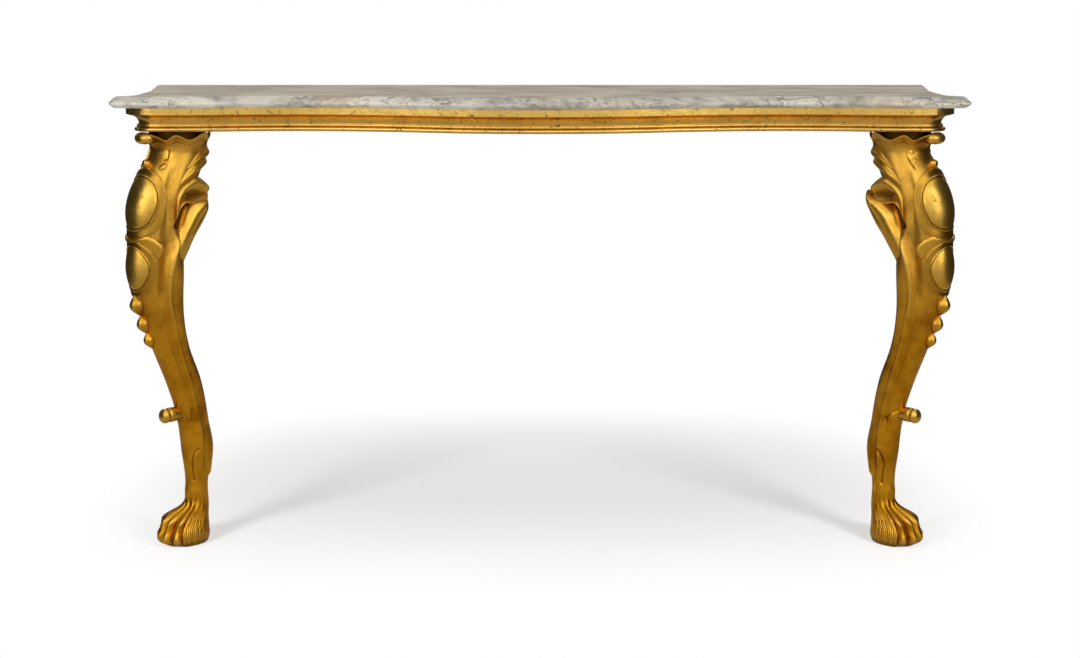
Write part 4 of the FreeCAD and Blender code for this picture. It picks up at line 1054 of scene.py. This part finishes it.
for side in SIDES:
    capital = set_up(joined([collar(side), rolled_lobe(side)]), "carved_capital_" + side,
                     "capital_" + side, matte_gold, crease=60.0, rounds=8)
    # painted shade darkens the groove behind the rim; the thin lip of the rim is painted pale as
    # rubbed wear and highlight
    paint_rows(capital, GROOVE_FROM, 1.1, -1.0)
    paint_rows(capital, RIM_FROM, GROOVE_FROM, 0.8)
print("capitals: rim between", min(h for _, h in RIM_WAVE), "and", max(h for _, h in RIM_WAVE))

# %% [markdown]
# ## Husks, pearl and scroll
# Down the shin hang three husks, each smaller than the one above.  A husk is an almond: two
# swelling cheeks that meet in a sharp crease and taper to a point at both ends.  A pearl
# sits over the upper frame, and lower down a short rolled knob breaks forward, with a ring
# cut near its end.  All are turned about their own axis and then pressed or creased.

# %% Almonds, ball and knob
HUSKS = [(496.0, 47.0, 28.0), (457.0, 42.0, 24.5), (423.5, 36.0, 20.5)]  # middle, length, girth
# share of the length and of the full size of the knob, with the ring cut at 0.69
KNOB = [(0.0, 0.55), (0.15, 0.8), (0.35, 0.93), (0.5, 0.98), (0.6, 0.98), (0.66, 0.94),
        (0.69, 0.86), (0.72, 0.93), (0.78, 0.99), (0.84, 0.97), (0.9, 0.86), (0.95, 0.68),
        (0.98, 0.46), (1.0, 0.0)]
KNOB_OUT, KNOB_LONG, KNOB_UP, KNOB_ROUND = 36.0, 52.0, 266.5, 14.8
PEARL_UP, PEARL_PROUD, PEARL_ROUND = 770.0, 5.5, 9.0


def husk(side, middle, length, girth_mm):
    """One almond that follows the slope of the shin."""
    half = length / 2
    below, above = (float(on_leg(0.0, middle + way * half, 0.0)[0]) for way in (-1, 1))
    lean = math.atan2(below - above, length)

    def place(across, along):
        spin = 2 * np.pi * (across - 0.5)
        size = np.sin(np.pi * np.clip(along, 0.0, 1.0) ** 1.15) ** 1.1
        size = girth_mm / 2 * size + 0.02
        crease = 1 - 0.11 * hump(spin, 0, 0.16) + 0.06 * np.cos(2 * spin)
        fore = np.cos(spin) * size * crease * 1.12
        out = below + (above - below) * along + 2.2 + fore * math.cos(lean)
        height = middle + half * (2 * along - 1) + fore * math.sin(lean)
        return on_table(side, out, np.sin(spin) * size * 0.96, height)
    return bent_shell(64, 44, place)


def knob(side):
    """A round stub that breaks out of the shin and droops a little."""
    def place(across, along):
        spin, size = 2 * np.pi * across, KNOB_ROUND * read_line(along, KNOB)
        height = KNOB_UP + size * np.sin(spin) + 1.5 * np.sin(np.pi * along)
        return on_table(side, KNOB_OUT + KNOB_LONG * along, size * np.cos(spin), height)
    return bent_shell(56, 56, place)


def pearl(side):
    """A slightly flattened ball over the upper frame."""
    bm = bmesh.new()
    bmesh.ops.create_uvsphere(bm, u_segments=40, v_segments=24, radius=PEARL_ROUND * MM)
    bmesh.ops.scale(bm, verts=bm.verts, vec=(1.0, 1.0, 0.94))
    seat = float(on_leg(0.0, PEARL_UP, 0.0)[0]) + PEARL_PROUD
    bmesh.ops.translate(bm, verts=bm.verts, vec=on_table(side, seat, 0.0, PEARL_UP).tolist())
    return bm


for side in SIDES:
    set_up(joined([husk(side, *size) for size in HUSKS]), "carved_husks_" + side,
           "husk_drop_" + side, burnished_gold, rounds=6, reach_mm=0.4)
    set_up(pearl(side), "carved_pearl_" + side, "pearl_" + side, burnished_gold, rounds=4,
           reach_mm=0.4)
    set_up(knob(side), "carved_scroll_" + side, "shin_scroll_" + side, burnished_gold, rounds=6,
           reach_mm=0.4)
print("husks:", len(HUSKS), "on each shin")

# %% [markdown]
# ## The paw
# The foot is a lion's paw: four toes with high knuckles and round ends, tendons that run up
# into the ankle, and fur combed down its sides.  It is one more grid round the leg.  The
# toes are a row of arches round the front, and their height changes on the way down: up
# over the knuckle, in at the joint, out again at the tip.

# %% Toes, tendons and fur
PAW_TOP = 92.0
# height, and how deep the valleys between the toes are cut, as a share of full depth
TOE_DEPTH = [(0, 0.6), (6, 0.85), (14, 1.0), (30, 1.0), (46, 0.95), (58, 0.7), (70, 0.42),
             (82, 0.16), (92, 0.0)]
# height, and how a toe swells on its way up: tip, joint, knuckle
TOE_SWELL = [(0, -4.0), (6, 0.4), (14, 3.0), (23, 2.2), (32, 0.4), (41, 1.6), (50, 3.4),
             (58, 3.0), (69, 1.0), (80, 0.0), (92, 0.0)]


def paw_relief(turn, height):
    """Toes in front, combed fur on both sides and the cords that go on up the post."""
    flank = np.abs(turn)
    front = 1 - soft_step(flank, 51, 60)
    arch = np.abs(np.sin(np.pi * turn / TOE_PITCH))
    up = read_line(height, TOE_DEPTH) * (9.0 * arch - 6.4)
    up = front * (up + 1.3 * read_line(height, TOE_SWELL) * arch)
    up += 8.0 * (1 - soft_step(flank, 44, 80)) * hump(height, 57, 12.5)
    comb = turn * 0.24 + 0.7 * np.sin(height / 13.0 + turn / 10.0)
    fine = turn * 0.62 + 1.4 * np.sin(height / 10.0 + turn / 16.0)
    lock = 0.55 * np.abs(np.sin(comb)) + 0.55 * np.abs(np.sin(fine)) - 0.65
    furred = between(flank, 53, 62, 112, 132) * between(height, 2, 9, 52, 76)
    return up + 1.7 * furred * lock + tendons(turn, height) - 0.3 * soft_step(height, 84, PAW_TOP)


def carve_paw(side):
    """One paw, from the floor to where the post comes out of it."""
    def place(across, along):
        turn, height = 360.0 * (across - 0.5), PAW_TOP * along
        return around_leg(side, turn, height, paw_relief(turn, height))
    return set_up(bent_shell(432, 96, place), "carved_paw_" + side, "paw_" + side,
                  matte_gold, crease=50.0, rounds=12, reach_mm=0.6)


paws = [carve_paw(side) for side in SIDES]
print("paw faces:", [len(paw.data.polygons) for paw in paws])

# %% [markdown]
# ## Rails of the frame
# The moulded rails already have their true shape in the construction model.  Their mesh is
# loose triangles, so a merged copy is shaded smoothly along the curves and creased at the
# quirks of the moulding.  Gold is laid only where it shows: the top and the inner face of a
# rail are left as bare pine, so these faces take a second material.

# %% Merged copies of the rails
RAIL_TOP_M = 0.878
# height, and how proud that member of the moulding counts: arrises rubbed and painted pale as
# highlights, quirks toned and painted dark as shade
RAIL_WEAR_SHEEN_AND_SHADE = [(831.0, -0.1), (833.5, 0.1), (837.5, 0.36), (841.5, -0.3), (843.0, 0.15),
               (845.2, 0.36), (847.3, -0.35), (849.0, -0.08), (856.0, 0.0), (862.0, 0.1),
               (864.8, 0.3), (866.0, 0.12), (877.0, 0.12), (878.0, 0.34)]


def merged_copy(node):
    """A copy of a solid's mesh with its loose triangles joined."""
    bm = bmesh.new()
    bm.from_mesh(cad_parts[node].data)
    bmesh.ops.remove_doubles(bm, verts=bm.verts, dist=2 * SEAM_M)
    return bm


def dress_rail(node, timber):
    """Gild a rail and leave its top and inner faces bare."""
    piece = set_up(merged_copy(node), node + "_moulding", node, frame_gold, crease=24.0, rounds=0)
    levels = [vert.co.z / MM for vert in piece.data.vertices]
    # these values paint highlights on the arrises of the moulding and shade in its quirks
    proud = np.interp(levels, *np.array(RAIL_WEAR_SHEEN_AND_SHADE).T).astype(np.float32)
    piece.data.attributes["relief"].data.foreach_set("value", proud)
    piece.data.materials.append(timber)
    for face in piece.data.polygons:
        normal, middle = face.normal, face.center
        inward = normal.y > 0.3 if node == "front_rail" else normal.x * middle.x < -0.01
        above = normal.z > 0.9 and middle.z > RAIL_TOP_M - MM
        face.material_index = int(inward and abs(normal.z) < 0.5 or above)
    return sum(face.material_index for face in piece.data.polygons)


for node, timber in (("front_rail", pine_across), ("side_rail_left", pine_back),
                     ("side_rail_right", pine_back)):
    print(node, "has", dress_rail(node, timber), "faces of bare pine")

# %% [markdown]
# ## The marble slab
# A merged copy of the slab gets what a stonemason gives it: every arris is eased, because a
# sharp edge of marble chips.  The flat faces are dissolved to one face each first, so that
# the bevel has clean edges to work on.

# %% Ease the edges of the slab
FLAT, SHARP = math.radians(0.4), math.radians(18)
EASED, EASED_STEPS = 1.6 * MM, 3
slab = merged_copy("marble_top")
bmesh.ops.dissolve_limit(slab, angle_limit=FLAT, verts=slab.verts, edges=slab.edges)
arrises = [e for e in slab.edges if len(e.link_faces) == 2 and e.calc_face_angle(0.0) > SHARP]
bmesh.ops.bevel(slab, geom=arrises, offset=EASED, offset_type="OFFSET", segments=EASED_STEPS,
                profile=0.5, material=-1, affect="EDGES", clamp_overlap=True)
print("slab:", len(arrises), "edges eased,", len(slab.faces), "faces")
set_up(slab, "marble_slab", "marble_top", veined_marble, body="top", crease=50.0,
       rounds=2)

# %% [markdown]
# ## Finishes on the parts that keep their construction shape
# Blocks, bearers, pegs, plates and screws are right as they are.  Only their material
# changes: each wood gets its grain along its own length.

# %% Pine, oak and iron on the hidden parts
FINISHES = {peg_oak: ("pegs", "foot_dowels"),
            pine_across: ("bearer_blocks", "corner_block", "back_rail"),
            pine_back: ("cross_bearer",),
            old_iron: ("screws", "bolts", "washers", "nuts", "wall_plate")}
dressed = 0
for name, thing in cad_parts.items():
    for material, words in FINISHES.items():
        if any(word in name for word in words):
            thing.data.materials.clear()
            thing.data.materials.append(material)
            dressed += 1
            break
print("hidden parts dressed:", dressed)

# %% [markdown]
# ## Floor and surround
# The table stands in a plain studio: a pale paper floor that keeps its shadow and fades to
# white away from it, and a white surround.  Camera, mirrored and transmitted rays see both
# as plain white; only the light that falls on things is dimmer.  From below the paper is
# clear, so that the underside of the frame can be looked at.

# %% Floor and surround
FLOOR_HALF_M = 30.0
# axis, middle, half length in m and power of the patch where the floor keeps its shadow
SHADOW_PATCH = (("X", 0.0, 0.95, 4.0), ("Y", 0.2, 0.8, 2.0))
PATCH_FADE = (-0.3, 1.2)       # the shadow fades out between these sums of both axes
DIM_LIGHT = 0.34               # of the surround, on things


def grid_object(name, size, columns=1):
    """A flat square of grid faces, which the studio owns and not the table."""
    bm = bmesh.new()
    bmesh.ops.create_grid(bm, x_segments=columns, y_segments=columns, size=size)
    thing = linked(name, as_mesh(bm, name))
    return thing


def seen_rays(tree):
    """1 for the rays that look at the surround, 0 for the light that falls on things."""
    rays = add(tree, "LightPath").outputs
    seen = calc(tree, "MAXIMUM", rays["Is Camera Ray"], rays["Is Glossy Ray"])
    return calc(tree, "MAXIMUM", seen, rays["Is Transmission Ray"])


paper, tree, shader, place = finish_named("Pale_paper_floor")
feed(tree, shader, {"Base Color": hexa("#F8F8F8"), "Roughness": 0.9, "Specular IOR Level": 0.1})
split = add(tree, "SeparateXYZ", {"Vector": place}).outputs
shares = []
for axis, middle, half, power in SHADOW_PATCH:
    off = calc(tree, "DIVIDE", calc(tree, "SUBTRACT", split[axis], middle), half)
    shares.append(calc(tree, "POWER", calc(tree, "ABSOLUTE", off), power))
white = mask(tree, calc(tree, "ADD", *shares), *PATCH_FADE)
glow = add(tree, "Emission", {"Color": hexa("#FFFFFF"), "Strength": 1.0}).outputs[0]
lit = calc(tree, "MULTIPLY", white, seen_rays(tree))
sheet = add(tree, "MixShader", {0: lit, 1: shader.outputs[0], 2: glow}).outputs[0]
below = add(tree, "NewGeometry").outputs["Backfacing"]
clear = add(tree, "BsdfTransparent").outputs[0]
sheet = add(tree, "MixShader", {0: below, 1: sheet, 2: clear}).outputs[0]
feed(tree, tree.nodes["Material Output"], {"Surface": sheet})
grid_object("floor", FLOOR_HALF_M, 2).data.materials.append(paper)

world = bpy.data.worlds.new("studio")
bpy.context.scene.world = world
world.use_nodes = True
tree = world.node_tree
strength = add(tree, "MapRange", {"Value": seen_rays(tree), "To Min": DIM_LIGHT, "To Max": 1.0})
feed(tree, tree.nodes["Background"], {"Color": hexa("#FFFFFF"),
                                      "Strength": strength.outputs["Result"]})
print("floor and white surround ready")

# %% [markdown]
# ## Lamps
# Two wide soft lamps stand in front, left and right, with a smaller key lamp beside each
# that only draws the soft shadows: gold doesn't mirror it.  A low strip in front and a broad
# lamp above fill the rest, as the windows and the ceiling of a studio would.

# %% Six lamps
# name, place, aimed at (both in m), width, height, watts; these two are repeated on the left
PAIRED_LAMPS = [("lamp_wide", (2.2, -2.9, 2.0), (0.4, 0.0, 0.5), 1.9, 2.3, 17),
                ("lamp_key", (2.0, -2.2, 1.6), (0.6, 0.0, 0.2), 0.8, 0.8, 50)]
MIDDLE_LAMPS = [("lamp_front", (0.0, -3.7, 2.6), (0.0, 0.0, 0.7), 2.4, 0.6, 12),
                ("lamp_above", (0.0, -0.3, 3.2), (0.0, 0.1, 0.6), 3.0, 1.8, 14)]


def soft_lamp(name, place, target, wide, high, watts, sign=1.0):
    """A rectangular lamp; with sign -1 it is the mirrored one."""
    place, target = (Vector((sign * p[0], p[1], p[2])) for p in (place, target))
    data = bpy.data.lights.new(name, "AREA")
    data.shape, data.size, data.size_y, data.energy = "RECTANGLE", wide, high, watts
    lamp = linked(name, data)
    lamp.location = place
    lamp.rotation_euler = (target - place).to_track_quat("-Z", "Y").to_euler()
    lamp.visible_glossy = name != "lamp_key"


for sign in SIDES.values():
    for lamp in PAIRED_LAMPS:
        soft_lamp(*lamp, sign)
for lamp in MIDDLE_LAMPS:
    soft_lamp(*lamp)
print("lamps:", 2 * len(PAIRED_LAMPS) + len(MIDDLE_LAMPS))

# %% [markdown]
# ## Cards that only gold can see
# Gold is only as good as what it mirrors.  Black cards at both ends and behind give the legs
# their dark contour, a grey one in front and a pale strip over it lie as highlights on every
# round form, and a dark sheet on the floor and a plaster-coloured wall tint the rest.  Only
# mirrored rays see them: they cast no shadow and light nothing.

# %% Cards round the table
# name, colour and brightness of each paper as gold sees it
BLACK = ("Black_card", "#FFFFFF", 0.02)
GREY = ("Grey_card", "#FFF9F0", 0.7)
WHITE = ("White_card", "#FFF9F0", 2.2)
DUSK = ("Dark_grey_card", "#FFF4E4", 0.42)
PLASTER = ("Plaster_wall_card", "#D8C8B0", 0.8)
# name, paper, middle in m, width, height, and its turn about x, y and z in degrees
CARDS = [("card_left", BLACK, (-1.75, 0.1, 0.9), 2.4, 2.4, (90, 0, 90)),
         ("card_right", BLACK, (1.75, 0.1, 0.9), 2.4, 2.4, (90, 0, 90)),
         ("card_front", GREY, (0.0, -4.3, 1.4), 12.0, 2.8, (90, 0, 0)),
         ("card_high", WHITE, (0.0, -3.6, 2.5), 2.8, 0.55, (55, 0, 0)),
         ("card_back", BLACK, (0.0, 1.35, 0.44), 7.0, 0.86, (90, 0, 0)),
         ("card_floor", DUSK, (0.0, -1.5, 0.004), 9.0, 5.7, (0, 0, 0)),
         ("card_wall", PLASTER, (0.0, 3.0, 1.3), 8.0, 2.6, (90, 0, 0))]


def card_paper(name, code, shown):
    """Card that the mirrored rays see at a set brightness."""
    material, tree, shader, _ = finish_named(name)
    feed(tree, shader, {"Base Color": hexa("#202020"), "Roughness": 1.0,
                        "Specular IOR Level": 0.0, "Emission Color": hexa(code),
                        "Emission Strength": shown})
    return material


papers = {kind: card_paper(*kind) for kind in (BLACK, GREY, WHITE, DUSK, PLASTER)}
for name, kind, middle, width, height, turned in CARDS:
    card = grid_object(name, 0.5)
    card.scale, card.location = (width, height, 1.0), middle
    card.rotation_euler = [math.radians(angle) for angle in turned]
    card.data.materials.append(papers[kind])
    for way in ("camera", "diffuse", "transmission", "volume_scatter", "shadow"):
        setattr(card, "visible_" + way, False)
print("cards:", len(CARDS))

# %% [markdown]
# ## Camera
# The camera stands a little over the height of the slab and looks down by eleven degrees,
# from so far that the legs keep their true proportions.

# %% Camera
LENS_MM, SENSOR_MM = 56.67, 36.0
STANDS_AT, TILT = (0.0, -3.4125, 1.0835), 78.961     # in m, and degrees up from straight down

camera_data = bpy.data.cameras.new("camera")
camera_data.lens, camera_data.sensor_width = LENS_MM, SENSOR_MM
camera = linked("camera", camera_data)
camera.location = STANDS_AT
camera.rotation_euler = (math.radians(TILT), 0.0, 0.0)
bpy.context.scene.camera = camera
bpy.context.scene.view_settings.view_transform = "Standard"
print("camera", round(camera_data.lens, 2), "mm lens")
